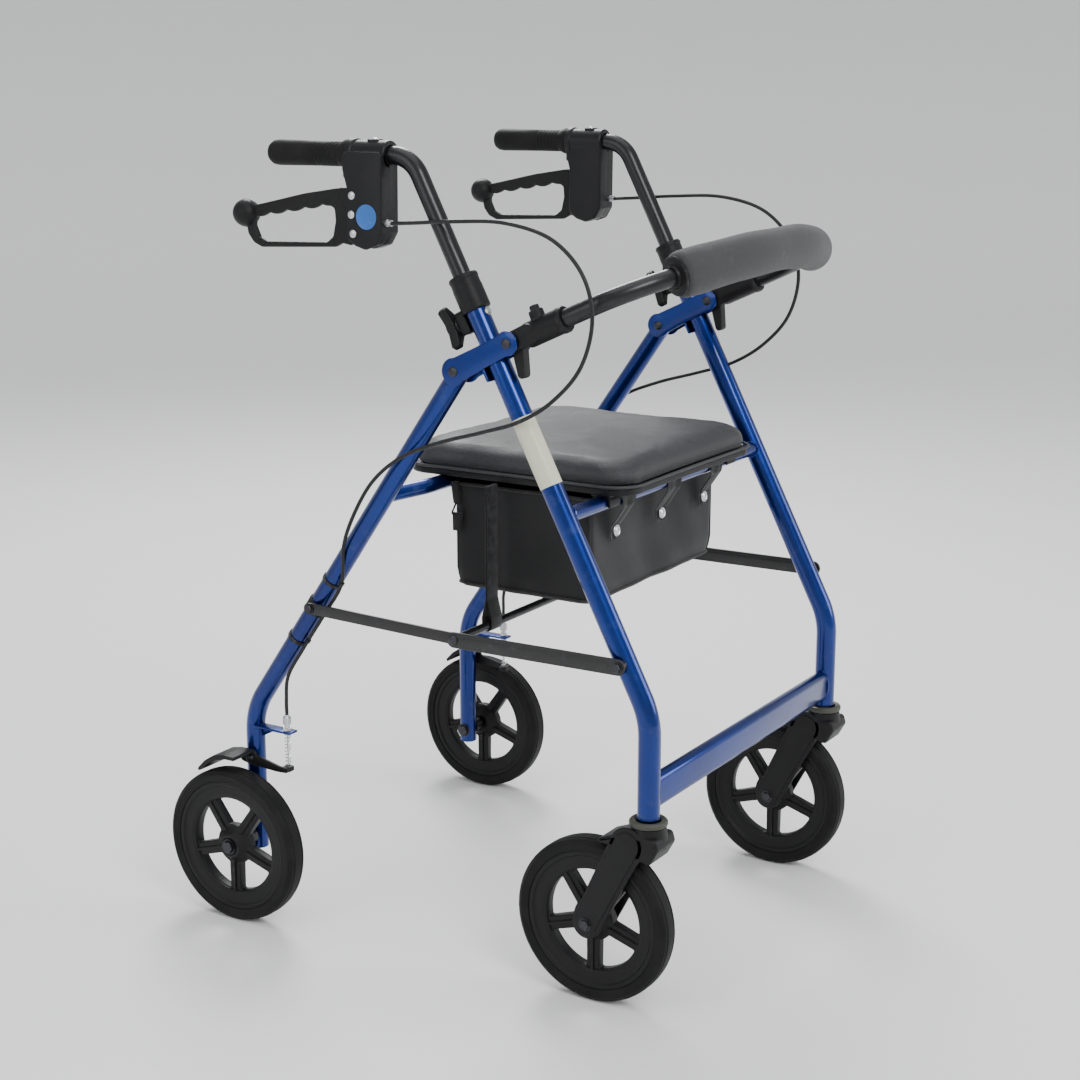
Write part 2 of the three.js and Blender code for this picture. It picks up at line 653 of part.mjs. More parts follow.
// ---------------------------------------------------------------- brake levers
const clampRear = GRIP_FRONT_Y - GAP - 0.2;
for (const [side, s] of SIDES) {
  const cx = s * TRACK;
  const lever = cx + s * LEVER_OFF;
  const outer = lever + s * (SLOT_HALF + CHEEK_T);
  const inner = cx - s * (GRIP_R - 1);
  const front = HOUSING_FRONT_Y;
  const [py, pz] = PARK_PIVOT;
  const [sy, sz] = SQUEEZE_PIVOT;
  // body below the tube
  const bodyShape = polygon([
    [front, HANDLE_Z + 4],
    [front + 1, CABLE_EXIT_Z - 12],
    [front + 9, pz - 13],
    [front + 24, pz - 18],
    [py - 2, pz - 14],
    [py + 9, pz - 6],
    [py + 9, sz + 9],
    [clampRear, HANDLE_Z - 16],
    [clampRear, HANDLE_Z + 4],
  ]);
  const body = plate(bodyShape, inner, outer);
  const clamp = rodBetween(
    new THREE.Vector3(cx, front, HANDLE_Z),
    new THREE.Vector3(cx, clampRear, HANDLE_Z),
    GRIP_R + 1.5,
    16,
  );
  const tubeHole = rodBetween(
    new THREE.Vector3(cx, front - 20, HANDLE_Z),
    new THREE.Vector3(cx, clampRear + 20, HANDLE_Z),
    HANDLE_R + GAP + 0.3,
    14,
  );
  const slot = box(
    lever - SLOT_HALF,
    lever + SLOT_HALF,
    front + 14,
    clampRear + 20,
    pz - 40,
    sz + 16,
  );
  const squeezeRivet = crossRod(outer - s, outer + s * 1.4, sy, sz, 4, 10);
  const parkRivet = crossRod(outer - s, outer + s * 1.4, py, pz, 4, 10);
  const midRivet = crossRod(outer - s, outer + s * 1.4, py + 2, (pz + sz) / 2, 4, 10);
  const badge = crossRod(outer - s, outer + s * 1.6, front + 21, (pz + sz) / 2 - 2, 14, 20);
  const ferrule = rodBetween(
    new THREE.Vector3(lever, front - 8, CABLE_EXIT_Z),
    new THREE.Vector3(lever, front + 3, CABLE_EXIT_Z),
    3.6,
    8,
  );
  const parkPin = crossRod(lever - s * (SLOT_HALF + 1), lever - s * 0.4, py, pz, 3, 10);
  const shell = cut(join(body, clamp), tubeHole, slot);
  add(
    `brake_housing_${side}`,
    join(shell, squeezeRivet, parkRivet, midRivet, badge, ferrule, parkPin),
    "black",
  );

  // rocker that holds the lever, locked down for parking
  const rockIn = lever - s * (SLOT_HALF - 0.5);
  const rockOut = lever - s * 0.5;
  const rockerPlate = plate(linkShape(PARK_PIVOT, SQUEEZE_PIVOT, 7.5, 6.5, 5), rockIn, rockOut);
  const parkHole = crossRod(lever - s * 20, lever + s * 20, py, pz, 3 + RUN, 10);
  const rocker = cut(rockerPlate, parkHole);
  const leverPin = crossRod(lever - s, lever + s * (SLOT_HALF - 0.6), sy, sz, 3, 10);
  add(`park_rocker_${side}`, join(rocker, leverPin), "satin");

  // looped lever with its ball end
  const rootIn = lever + s * 0.0;
  const rootOut = lever + s * (SLOT_HALF - 0.5);
  const root0 = plate(
    polygon([
      [sy - 7, sz + 4],
      [sy - 3, sz + 8],
      [sy + 4, sz + 8],
      [sy + 24, sz + 8],
      [sy + 24, sz - 54],
      [sy + 6, sz - 57],
      [sy - 4, sz - 50],
      [sy - 6, sz - 20],
    ]),
    rootIn,
    rootOut,
  );
  const [by, bz] = BALL;
  const loop = polygon([
    [sy + 18, sz + 8],
    [sy + 18, sz - 54],
    [sy + 30, sz - 60],
    [by - 24, bz - 39],
    [by - 12, bz - 34],
    [by - 4, bz - 24],
    [by, bz - 6],
    [by - 10, bz + 9],
    [by - 30, bz + 13],
    [by - 90, bz + 26],
  ]);
  const scallops = [];
  const from = [sy + 36, sz - 9];
  const to = [by - 24, bz + 1];
  const bumps = 4;
  for (let i = 0; i <= bumps * 4; i += 1) {
    const t = i / (bumps * 4);
    const wave = 1.6 * (1 - Math.cos(2 * Math.PI * bumps * t));
    scallops.push([from[0] + (to[0] - from[0]) * t, from[1] + (to[1] - from[1]) * t - 3.2 + wave]);
  }
  const hole = new THREE.Path(
    [
      ...scallops,
      [by - 15, bz - 3],
      [by - 14, bz - 14],
      [by - 20, bz - 27],
      [by - 32, bz - 32],
      [sy + 42, sz - 55],
      [sy + 33, sz - 48],
      [sy + 29, sz - 30],
      [sy + 30, sz - 16],
    ].map(([y, z]) => new THREE.Vector2(y, z)),
  );
  loop.holes.push(hole);
  const bow = plate(loop, lever - s * (LEVER_T / 2), lever + s * (LEVER_T / 2));
  const ball = new THREE.SphereGeometry(BALL_R, 12, 8);
  ball.translate(lever, by, bz);
  const pinHole = crossRod(lever - s * 20, lever + s * 20, sy, sz, 3 + RUN, 10);
  add(`brake_lever_${side}`, cut(join(root0, bow, ball), pinHole), "black");
}

// ---------------------------------------------------------------- backrest
function backPoints(limit) {
  const d = BACK_DEPTH;
  const a = BACK_ARM_X;
  const plan = [
    [a, SLEEVE_FROM + 4],
    [a, d * 0.4],
    [a - 6, d * 0.56],
    [a - 34, d * 0.72],
    [a - 70, d * 0.82],
    [a - 118, d * 0.91],
    [a - 178, d * 0.98],
    [0, d],
  ];
  const half = plan.slice(0, -1);
  const full = [...half.map(([x, y]) => [-x, y]), plan[plan.length - 1], ...half.reverse()];
  const curve = new THREE.CatmullRomCurve3(
    full.map(([x, y]) => backAt(x, y)),
    false,
    "centripetal",
  );
  const fine = curve.getPoints(220);
  const kept = fine.filter((p) => Math.abs(p.x) <= limit);
  const step = (kept.length - 1) / Math.round(kept.length / 10);
  const points = [];
  for (let i = 0; i <= kept.length - 1 + 1e-6; i += step) {
    points.push(kept[Math.min(Math.round(i), kept.length - 1)]);
  }
  return points;
}
add("backrest_tube", sweep(backPoints(1e6), BACK_TUBE_R, 12), "satin");
{
  const axis = backPoints(PAD_HALF);
  const pad = sweep(axis, PAD_R, 14);
  const tunnel = sweep(backPoints(1e6), BACK_TUBE_R + GAP + 0.4, 12);
  add("backrest_pad", cut(pad, tunnel), "foam");
}
for (const [side, s] of SIDES) {
  const cx = s * BACK_ARM_X;
  const half = BRACKET_IN - 1.2;
  const neck = backAt(0, SLEEVE_FROM);
  const eye = plate(linkShape(BACK_PIN, [neck.y, neck.z], 11, 12), s * TRACK - half, s * TRACK + half);
  const sleeve = rodBetween(backAt(cx, SLEEVE_FROM - 6), backAt(cx, SLEEVE_TO), BACK_TUBE_R + 4, 14);
  const roomR = BACK_TUBE_R + GAP + 0.2;
  const room = rodBetween(backAt(cx, SLEEVE_FROM + 3), backAt(cx, SLEEVE_TO + 20), roomR, 12);
  const finger = linkShape(
    [backAt(0, 6, -6).y, backAt(0, 6, -6).z],
    [backAt(0, -2, -37).y, backAt(0, -2, -37).z],
    8,
    5,
  );
  const turret = rodBetween(backAt(cx, 40, BACK_TUBE_R + 2), backAt(cx, 40, BACK_TUBE_R + 12), 8.5, 12);
  const buttonHole = rodBetween(
    backAt(cx, 40, BACK_TUBE_R + 4.6),
    backAt(cx, 40, BACK_TUBE_R + 20),
    5.6 + RUN,
    12,
  );
  const pinHole = crossRod(cx - 40, cx + 40, BACK_PIN[0], BACK_PIN[1], PIN_R + RUN, 10);
  const body = join(eye, sleeve, plate(finger, s * TRACK - 7, s * TRACK + 7), turret);
  const tubeRoom = sweep(backPoints(1e6), BACK_TUBE_R + GAP + 0.2);
  add(`backrest_hinge_${side}`, cut(body, room, tubeRoom, buttonHole, pinHole), "black");
  const button = rodBetween(backAt(cx, 40, BACK_TUBE_R + 9), backAt(cx, 40, BACK_TUBE_R + 18), 5.6, 12);
  add(`push_button_${side}`, button, "black");
}

// ---------------------------------------------------------------- seat
function roundedSlab(half, y0, y1, z0, z1, corner, bevel) {
  const shape = new THREE.Shape();
  const points = [];
  const spots = [
    [half - corner, y0 + corner, -Math.PI / 2],
    [half - corner, y1 - corner, 0],
    [-(half - corner), y1 - corner, Math.PI / 2],
    [-(half - corner), y0 + corner, Math.PI],
  ];
  for (const [x, y, from] of spots) {
    for (let i = 0; i <= 4; i += 1) {
      const a = from + (Math.PI / 2) * (i / 4);
      const r = corner - bevel;
      points.push(new THREE.Vector2(x + r * Math.cos(a), y + r * Math.sin(a)));
    }
  }
  shape.setFromPoints(points);
  const geometry = new THREE.ExtrudeGeometry(shape, {
    depth: z1 - z0 - 2 * bevel,
    bevelEnabled: bevel > 0,
    bevelSize: bevel,
    bevelThickness: bevel,
    bevelSegments: 2,
    steps: 1,
  });
  geometry.translate(0, 0, z0 + bevel);
  return geometry;
}
const seatY0 = FRONT_SEAT_Y - SEAT_FRONT;
const seatY1 = FRONT_SEAT_Y + SEAT_BACK;
const seatTop = SEAT_BOARD_Z + SEAT_BOARD_T;
const CLIP_HALF = SEAT_TUBE_R + 3.6;
{
  const board = roundedSlab(SEAT_HALF - 4, seatY0 + 4, seatY1 - 4, SEAT_BOARD_Z, seatTop, SEAT_CORNER - 4, 0);
  const clips = [-1, 1].map((s) =>
    box(
      s * 96,
      s * 122,
      FRONT_SEAT_Y - CLIP_HALF,
      FRONT_SEAT_Y + CLIP_HALF,
      FRONT_SEAT_Z - 5,
      SEAT_BOARD_Z + 2,
    ),
  );
  const tubeRoom = crossRod(-TRACK, TRACK, FRONT_SEAT_Y, FRONT_SEAT_Z, SEAT_TUBE_R + RUN, 14);
  add("seat_board", cut(join(board, ...clips), tubeRoom), "black");
  const low = seatTop + GAP;
  const cushion = roundedSlab(SEAT_HALF, seatY0, seatY1, low, low + CUSHION_T, SEAT_CORNER, 9);
  add("seat_cushion", cushion, "vinyl");
}

// ---------------------------------------------------------------- rear frame
function rearLegCorners(x) {
  const top = new THREE.Vector3(x, REAR_PIVOT[0], REAR_PIVOT[1]).addScaledVector(REAR_DOWN, -9);
  return [
    top,
    new THREE.Vector3(x, REAR_FOOT_Y, REAR_BEND_Z),
    new THREE.Vector3(x, REAR_FOOT_Y, REAR_FOOT_Z),
  ];
}
const fatRearLeg = (x) => bentTube(rearLegCorners(x), REAR_BEND_R, REAR_R + GAP, 12, 4);
const SHOE_GAP = 3;
const ARM_X = REAR_R + 2; // inner face of the brake arm, from TRACK
const ARM_T = 4;
const BRAKE_PIVOT = [REAR_FOOT_Y - 4, HUB_Z + WHEEL_R + 6];
const WIRE_Y = REAR_FOOT_Y - 58;
const WIRE_X = 8;
const TAB_Z = HUB_Z + WHEEL_R + 47;
for (const [side, s] of SIDES) {
  const cx = s * TRACK;
  const out = (d) => cx + s * d;
  const tube = bentTube(rearLegCorners(cx), REAR_BEND_R, REAR_R, 12, 4);
  const pivotHole = crossRod(cx - 40, cx + 40, REAR_PIVOT[0], REAR_PIVOT[1], PIN_R + RUN, 10);
  const axleHole = crossRod(cx - 40, cx + 40, REAR_FOOT_Y, HUB_Z, REAR_AXLE_R + GAP, 12);
  const y = rearY(LINK_REAR_Z);
  const washer = crossRod(out(REAR_R - 3), out(REAR_LINK_X - GAP), y, LINK_REAR_Z, PIN_HEAD_R, 10);
  const bolt = crossRod(out(REAR_R), out(REAR_LINK_X + LINK_T + GAP + 1), y, LINK_REAR_Z, PIN_R, 10);
  const head = crossRod(
    out(REAR_LINK_X + LINK_T + GAP),
    out(REAR_LINK_X + LINK_T + GAP + PIN_HEAD_T),
    y,
    LINK_REAR_Z,
    PIN_HEAD_R,
    10,
  );
  // tab that carries the cable adjuster
  const tabEnd = REAR_FOOT_Y - REAR_R + 4;
  const tab = box(out(WIRE_X - 9), out(WIRE_X + 7), WIRE_Y - 8, tabEnd, TAB_Z, TAB_Z + 3);
  const tabHole = rodBetween(
    new THREE.Vector3(out(WIRE_X), WIRE_Y, TAB_Z - 5),
    new THREE.Vector3(out(WIRE_X), WIRE_Y, TAB_Z + 8),
    3.4 + GAP,
    10,
  );
  // pivot stud of the brake arm
  const [by, bz] = BRAKE_PIVOT;
  const stud = crossRod(out(REAR_R - 3), out(ARM_X + ARM_T + 1.5), by, bz, 3.5, 10);
  const studCap = crossRod(out(ARM_X + ARM_T + GAP), out(ARM_X + ARM_T + 2.4), by, bz, 6, 10);
  add(
    `rear_leg_${side}`,
    cut(join(tube, washer, bolt, head, tab, stud, studCap), pivotHole, axleHole, tabHole),
    "blue",
  );

  const hubIn = REAR_WHEEL_X - TRACK - REAR_HUB_HALF;
  const hubOut = REAR_WHEEL_X - TRACK + REAR_HUB_HALF;
  const axleRod = (from, to, r, sides) => crossRod(out(from), out(to), REAR_FOOT_Y, HUB_Z, r, sides);
  const axle = join(
    axleRod(-REAR_R - 3, hubOut + 3, REAR_AXLE_R, 12),
    axleRod(-REAR_R - 4, -REAR_R - GAP, REAR_AXLE_R + 3.5, 6),
    axleRod(REAR_R + GAP, hubIn - RUN, REAR_AXLE_R + 3.5, 12),
    axleRod(hubOut + RUN, hubOut + 3, REAR_AXLE_R + 3.5, 6),
  );
  add(`rear_axle_${side}`, axle, "steel");

  // barrel adjuster on the tab
  const wireAt = (z) => new THREE.Vector3(out(WIRE_X), WIRE_Y, z);
  const adjuster = join(
    rodBetween(wireAt(TAB_Z - 3), wireAt(TAB_Z + 24), 3.4, 10),
    rodBetween(wireAt(TAB_Z + 3 + GAP), wireAt(TAB_Z + 7), 5.6, 6),
    rodBetween(wireAt(TAB_Z + 12), wireAt(TAB_Z + 22), 5, 10),
  );
  add(`cable_adjuster_${side}`, adjuster, "steel");

  // brake arm: front tip on the wire, shoe over the tyre
  const tipZ = BRAKE_PIVOT[1] - 6;
  const armShape = polygon([
    [WIRE_Y - 6, tipZ - 3],
    [WIRE_Y + 10, tipZ - 4],
    [by, bz - 8],
    [by + 14, bz - 5],
    [by + 20, bz + 6],
    [by + 12, bz + 12],
    [by - 6, bz + 12],
    [by - 10, bz + 6],
    [WIRE_Y + 8, tipZ + 4],
    [WIRE_Y - 6, tipZ + 3],
  ]);
  const padIn = WHEEL_R + SHOE_GAP + 0.7;
  const onTyre = (y) => HUB_Z + Math.sqrt(padIn ** 2 - (y - REAR_FOOT_Y) ** 2);
  const archShape = polygon([
    [by - 6, bz + 8.2],
    [by - 4, bz + 12.6],
    [by + 12, bz + 13],
    [by + 28, bz + 9.5],
    [by + 43, bz + 0.5],
    [by + 55, bz - 11.5],
    [by + 54, onTyre(by + 54)],
    [by + 44, onTyre(by + 44)],
    [by + 37, bz - 2.5],
    [by + 25, bz + 4],
    [by + 11, bz + 7.8],
  ]);
  const shoeOut = REAR_WHEEL_X - TRACK + TYRE_HALF - 3;
  const shoe = plate(archShape, out(ARM_X + ARM_T - 1), out(shoeOut));
  const lug = box(out(WIRE_X - 6), out(ARM_X + 1), WIRE_Y - 6, WIRE_Y + 6, tipZ - 3, tipZ + 3);
  const arm = join(plate(armShape, out(ARM_X), out(ARM_X + ARM_T)), lug, shoe);
  const studHole = crossRod(cx - 60, cx + 60, by, bz, 3.5 + RUN, 10);
  add(`brake_arm_${side}`, cut(arm, studHole), "black");
  const spring = rodBetween(wireAt(tipZ + 3 + GAP), wireAt(TAB_Z - 3 - GAP), 3.8, 10);
  add(`brake_spring_${side}`, spring, "steel");
}

// rear seat tube, stepped forward under the seat
const rearSeatY = rearY(REAR_SEAT_Z);
const restY = rearSeatY - REAR_SEAT_DROP_Y;
{
  const restZ = SEAT_BOARD_Z - GAP - SEAT_TUBE_R;
  const corners = [
    new THREE.Vector3(-TRACK, rearSeatY, REAR_SEAT_Z),
    new THREE.Vector3(-TRACK + REAR_SEAT_STEP_X, restY, restZ),
    new THREE.Vector3(TRACK - REAR_SEAT_STEP_X, restY, restZ),
    new THREE.Vector3(TRACK, rearSeatY, REAR_SEAT_Z),
  ];
  const tube = bentTube(corners, 45, SEAT_TUBE_R, 12, 3);
  add("rear_seat_tube", cut(tube, fatRearLeg(-TRACK), fatRearLeg(TRACK)), "blue");
}

// ---------------------------------------------------------------- folding links
const KNEE = [KNEE_Y, KNEE_Z];
for (const [side, s] of SIDES) {
  const cx = s * TRACK;
  const frontAt = [legY(LINK_FRONT_Z), LINK_FRONT_Z];
  const rearAt = [rearY(LINK_REAR_Z), LINK_REAR_Z];
  const fx = cx + s * FRONT_LINK_X;
  const rx = cx + s * REAR_LINK_X;
  const front = cut(
    join(
      plate(linkShape(frontAt, KNEE, FRONT_LINK_W / 2, FRONT_LINK_W / 2, 6), fx, fx + s * LINK_T),
      crossRod(fx + s * (LINK_T - 1), fx + s * (LINK_T + 2), KNEE_Y, KNEE_Z, PIN_HEAD_R - 1, 10),
    ),
    crossRod(cx - s * 60, cx + s * 60, frontAt[0], frontAt[1], PIN_R + RUN, 10),
  );
  add(`front_link_${side}`, front, "black");
  const rear = cut(
    plate(linkShape(KNEE, rearAt, REAR_LINK_W / 2, REAR_LINK_W / 2, 6), rx, rx + s * LINK_T),
    crossRod(cx - s * 60, cx + s * 60, rearAt[0], rearAt[1], PIN_R + RUN, 10),
  );
  add(`rear_link_${side}`, rear, "black");
}
const ROD_HALF = TRACK + REAR_LINK_X - 0.5;
add("fold_rod", crossRod(-ROD_HALF, ROD_HALF, KNEE_Y, KNEE_Z, ROD_R, 12), "satin");

// pull strap looped round the rod, up to the seat
{
  const x0 = -BAG_HALF - 34;
  const x1 = x0 + 22;
  const top = SEAT_BOARD_Z - GAP - 0.5;
  const outline = polygon([
    [KNEE_Y - 2, top],
    [KNEE_Y - 2, KNEE_Z + 26],
    [KNEE_Y - ROD_R - 5, KNEE_Z + 6],
    [KNEE_Y - ROD_R - 3, KNEE_Z - ROD_R - 3],
    [KNEE_Y + ROD_R + 3, KNEE_Z - ROD_R - 3],
    [KNEE_Y + ROD_R + 5, KNEE_Z + 6],
    [KNEE_Y + 2, KNEE_Z + 26],
    [KNEE_Y + 2, top],
  ]);
  const rodRoom = crossRod(-TRACK, TRACK, KNEE_Y, KNEE_Z, ROD_R + GAP + 0.2, 12);
  add("fold_strap", cut(plate(outline, x0, x1), rodRoom), "nylon");
}

// ---------------------------------------------------------------- bag
{
  const y0 = FRONT_SEAT_Y + CLIP_HALF + 2;
  const y1 = restY - SEAT_TUBE_R - 4;
  const z1 = FRONT_SEAT_Z - 4;
  const z0 = z1 - BAG_DROP;
  const profile = polygon([
    [y0, z1],
    [y0 - 1, z0 + 18],
    [y0 + 14, z0],
    [y1 - 8, z0],
    [y1 + 3, z0 + 16],
    [y1, z1],
  ]);
  add("bag", plate(profile, -BAG_HALF, BAG_HALF), "nylon");
}

// ---------------------------------------------------------------- brake cables
function cablePath(s) {
  const x = (d) => s * (TRACK + d);
  const point = (d, y, z) => new THREE.Vector3(x(d), y, z);
  const onLeg = (d, z, off) => {
    const y = rearY(z) - off * Math.cos(REAR_LEAN);
    return point(d, y, z - off * Math.sin(REAR_LEAN));
  };
  const clear = LEG_R + CABLE_R + 4;
  return [
    point(LEVER_OFF, HOUSING_FRONT_Y - 8 - GAP, CABLE_EXIT_Z),
    point(LEVER_OFF + 2, -6, 888),
    point(18, -61, 892),
    point(20, -132, 893),
    point(20, -192, 877),
    point(20, -229, 842),
    point(21, -242, 797),
    point(22, -229, 744),
    point(22, -194, 704),
    point(clear + 2, -151, 677),
    point(clear, -101, 660),
    point(clear, -41, 642),
    point(clear, 14, 619),
    point(clear - 1, 56, 586),
    point(clear - 1, 86, 540),
    point(clear - 3, 102, 503),
    onLeg(10, 462, REAR_R + CABLE_R + 2),
    onLeg(6, 420, REAR_R + CABLE_R + 2),
    onLeg(6, 370, REAR_R + CABLE_R + 2),
    onLeg(7, 330, REAR_R + CABLE_R + 5),
    point(WIRE_X, WIRE_Y, TAB_Z + 44),
    point(WIRE_X, WIRE_Y, TAB_Z + 24 + GAP),
  ];
}
for (const [side, s] of SIDES) {
  const curve = new THREE.CatmullRomCurve3(cablePath(s), false, "centripetal");
  const steps = 46;
  const cable = new THREE.ExtrudeGeometry(ringShape(CABLE_R, 8), {
    steps,
    extrudePath: curve,
    bevelEnabled: false,
  });
  add(`brake_cable_${side}`, cable, "rubber");
}

export default root;
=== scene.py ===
"""The shown model of a folding four-wheel rollator walker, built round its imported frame.

Everything is in metres, +Z up. The front faces -Y and the user's right hand side is at -X.
Pivots and directions come from the frame's joints, and boxes from its nodes.
"""

import json
import logging
from dataclasses import dataclass, field
from enum import Enum
from math import acos, asin, atan2, copysign, cos, degrees, dist, exp, pi, radians, sin, sqrt, tan, tau
from typing import Sequence, Union

import bmesh
import bpy
from mathutils import Matrix, Quaternion, Vector


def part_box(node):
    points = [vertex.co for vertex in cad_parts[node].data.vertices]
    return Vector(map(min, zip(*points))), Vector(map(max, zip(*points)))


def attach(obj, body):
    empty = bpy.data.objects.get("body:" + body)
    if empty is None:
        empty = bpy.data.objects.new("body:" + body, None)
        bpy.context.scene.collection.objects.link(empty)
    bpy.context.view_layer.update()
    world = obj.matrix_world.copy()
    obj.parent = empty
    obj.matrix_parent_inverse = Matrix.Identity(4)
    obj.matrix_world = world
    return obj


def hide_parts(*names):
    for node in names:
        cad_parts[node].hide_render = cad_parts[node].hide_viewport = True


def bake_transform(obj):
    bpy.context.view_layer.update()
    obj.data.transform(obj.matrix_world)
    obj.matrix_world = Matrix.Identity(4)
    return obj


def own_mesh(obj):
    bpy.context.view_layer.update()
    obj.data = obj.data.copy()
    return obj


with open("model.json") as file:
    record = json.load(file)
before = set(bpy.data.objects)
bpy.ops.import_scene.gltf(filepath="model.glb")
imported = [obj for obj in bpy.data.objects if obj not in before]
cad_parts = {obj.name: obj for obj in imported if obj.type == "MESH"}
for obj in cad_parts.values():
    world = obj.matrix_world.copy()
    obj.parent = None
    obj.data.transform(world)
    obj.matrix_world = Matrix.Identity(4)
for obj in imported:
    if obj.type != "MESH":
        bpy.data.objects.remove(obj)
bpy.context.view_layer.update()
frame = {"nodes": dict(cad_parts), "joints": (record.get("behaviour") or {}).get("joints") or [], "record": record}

LOG = logging.getLogger("rollator")

Flat = tuple[float, float]
Value = Union[float, Sequence[float], "Wire"]


class Side(Enum):
    """The walker's two sides, as its user sees them from behind."""

    RIGHT = -1
    LEFT = 1

    @property
    def tag(self) -> str:
        """The word that ends the names of this side's pieces."""
        return self.name.lower()

    @property
    def out(self) -> float:
        """The sign of X that points away from the middle."""
        return float(self.value)


class Place(Enum):
    """Where a wheel is."""

    FRONT = "front"
    REAR = "rear"


# ---- the frame's places
class Layout:
    """Pivots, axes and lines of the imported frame."""

    def __init__(self, joints: list[dict]) -> None:
        """Keeps the joints by name and works out the two leaning leg lines.

        Args:
            joints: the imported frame's joints.
        """
        self.joints = {j["name"]: j for j in joints}
        self.front_leg = Line(self.pivot("front_link_pivot"), self.pivot("seat_flip"))
        self.rear_leg = Line(self.pivot("rear_link_pivot"), self.pivot("fold"))

    def pivot(self, joint: str) -> Vector:
        """Where a hinge's axis passes."""
        return Vector(self.joints[joint]["pos_m"])

    def axis(self, joint: str) -> Vector:
        """The direction of a joint's axis."""
        return Vector(self.joints[joint]["axis"]).normalized()


class Line:
    """A leaning tube's axis, seen from the side."""

    def __init__(self, low: Vector, high: Vector) -> None:
        """Keeps a low point and the direction up the tube.

        Args:
            low: a low point of the axis.
            high: a point above it.
        """
        self.low = low
        self.up = Vector((0, high.y - low.y, high.z - low.z)).normalized()
        self.back = Vector((0, self.up.z, -self.up.y))

    def at(self, x: float, z: float, off: float = 0.0) -> Vector:
        """The point of the axis at a height.

        Args:
            x: the side plane.
            z: the height on the axis.
            off: how far to go square to the axis, backwards.

        Returns:
            The point.
        """
        along = (z - self.low.z) / self.up.z
        return Vector((x, self.low.y + self.up.y * along, z)) + self.back * off


# ---- outlines and paths
def fillet(points: Sequence[Flat], radius: float, steps: int = 5, closed: bool = True) -> list[Flat]:
    """Rounds the corners of an outline.

    Args:
        points: the corners.
        radius: the radius wanted, made smaller where a side is short.
        steps: points in each arc, less one.
        closed: whether the last corner joins the first.

    Returns:
        The rounded outline.
    """
    found: list[Flat] = []
    count = len(points)
    for i in range(count):
        here = Vector(points[i])
        if not closed and i in (0, count - 1):
            found.append(tuple(here))
            continue
        into = here - Vector(points[i - 1])
        out = Vector(points[(i + 1) % count]) - here
        room = 0.49 * min(into.length, out.length)
        into.normalize()
        out.normalize()
        turn = into.angle(out, 0.0)
        if turn < 0.03:
            found.append(tuple(here))
            continue
        reach = min(radius * tan(turn / 2), room)
        start, end = here - into * reach, here + out * reach
        for k in range(steps + 1):
            t = k / steps
            bend = start * (1 - t) ** 2 + here * 2 * t * (1 - t) + end * t * t
            found.append(tuple(bend))
    return found


def near(y: float, z: float, *steps: Flat) -> list[Flat]:
    """Points that are given by their steps from (y, z)."""
    return [(y + dy, z + dz) for dy, dz in steps]


def between(p: Flat, q: Flat, steps: int) -> list[Flat]:
    """The points from p to just before q, in even steps."""
    return [(p[0] + (q[0] - p[0]) * k / steps, p[1] + (q[1] - p[1]) * k / steps) for k in range(steps)]


def link_outline(a: Flat, b: Flat, ra: float, rb: float, steps: int = 12) -> list[Flat]:
    """The outline of two round ends joined by straight sides.

    Args:
        a: centre of the first end.
        b: centre of the second end.
        ra: radius of the first end.
        rb: radius of the second end.
        steps: points in each end, less one.

    Returns:
        The outline.
    """
    along = atan2(b[1] - a[1], b[0] - a[0])
    spread = acos((ra - rb) / dist(a, b))
    ends = ((a, ra, along + spread, 2 * pi - 2 * spread), (b, rb, along - spread, 2 * spread))
    return [
        (c[0] + r * cos(t0 + span * i / steps), c[1] + r * sin(t0 + span * i / steps))
        for c, r, t0, span in ends
        for i in range(steps + 1)
    ]


def arc(centre: Flat, radius: float, start: float, end: float, steps: int) -> list[Flat]:
    """Points along an arc, with its angles in degrees."""
    angles = [radians(start + (end - start) * i / steps) for i in range(steps + 1)]
    return [(centre[0] + radius * cos(a), centre[1] + radius * sin(a)) for a in angles]


def bent(corners: Sequence[Vector], radius: float, steps: int = 10) -> list[Vector]:
    """A tube's line through corners, with each inner corner bent round an arc.

    Args:
        corners: the ends and the corners between them.
        radius: the bend's radius.
        steps: points in each bend, less one.

    Returns:
        The points of the line.
    """
    points = [corners[0].copy()]
    for before, here, after in zip(corners, corners[1:], corners[2:]):
        into, out = (here - before).normalized(), (after - here).normalized()
        turn = into.angle(out)
        room = 0.49 * min((here - before).length, (after - here).length)
        reach = min(radius * tan(turn / 2), room)
        round_r = reach / tan(turn / 2)
        start = here - into * reach
        inward = (out - into * out.dot(into)).normalized()
        centre = start + inward * round_r
        for k in range(steps + 1):
            a = turn * k / steps
            points.append(centre - inward * (round_r * cos(a)) + into * (round_r * sin(a)))
    points.append(corners[-1].copy())
    return points


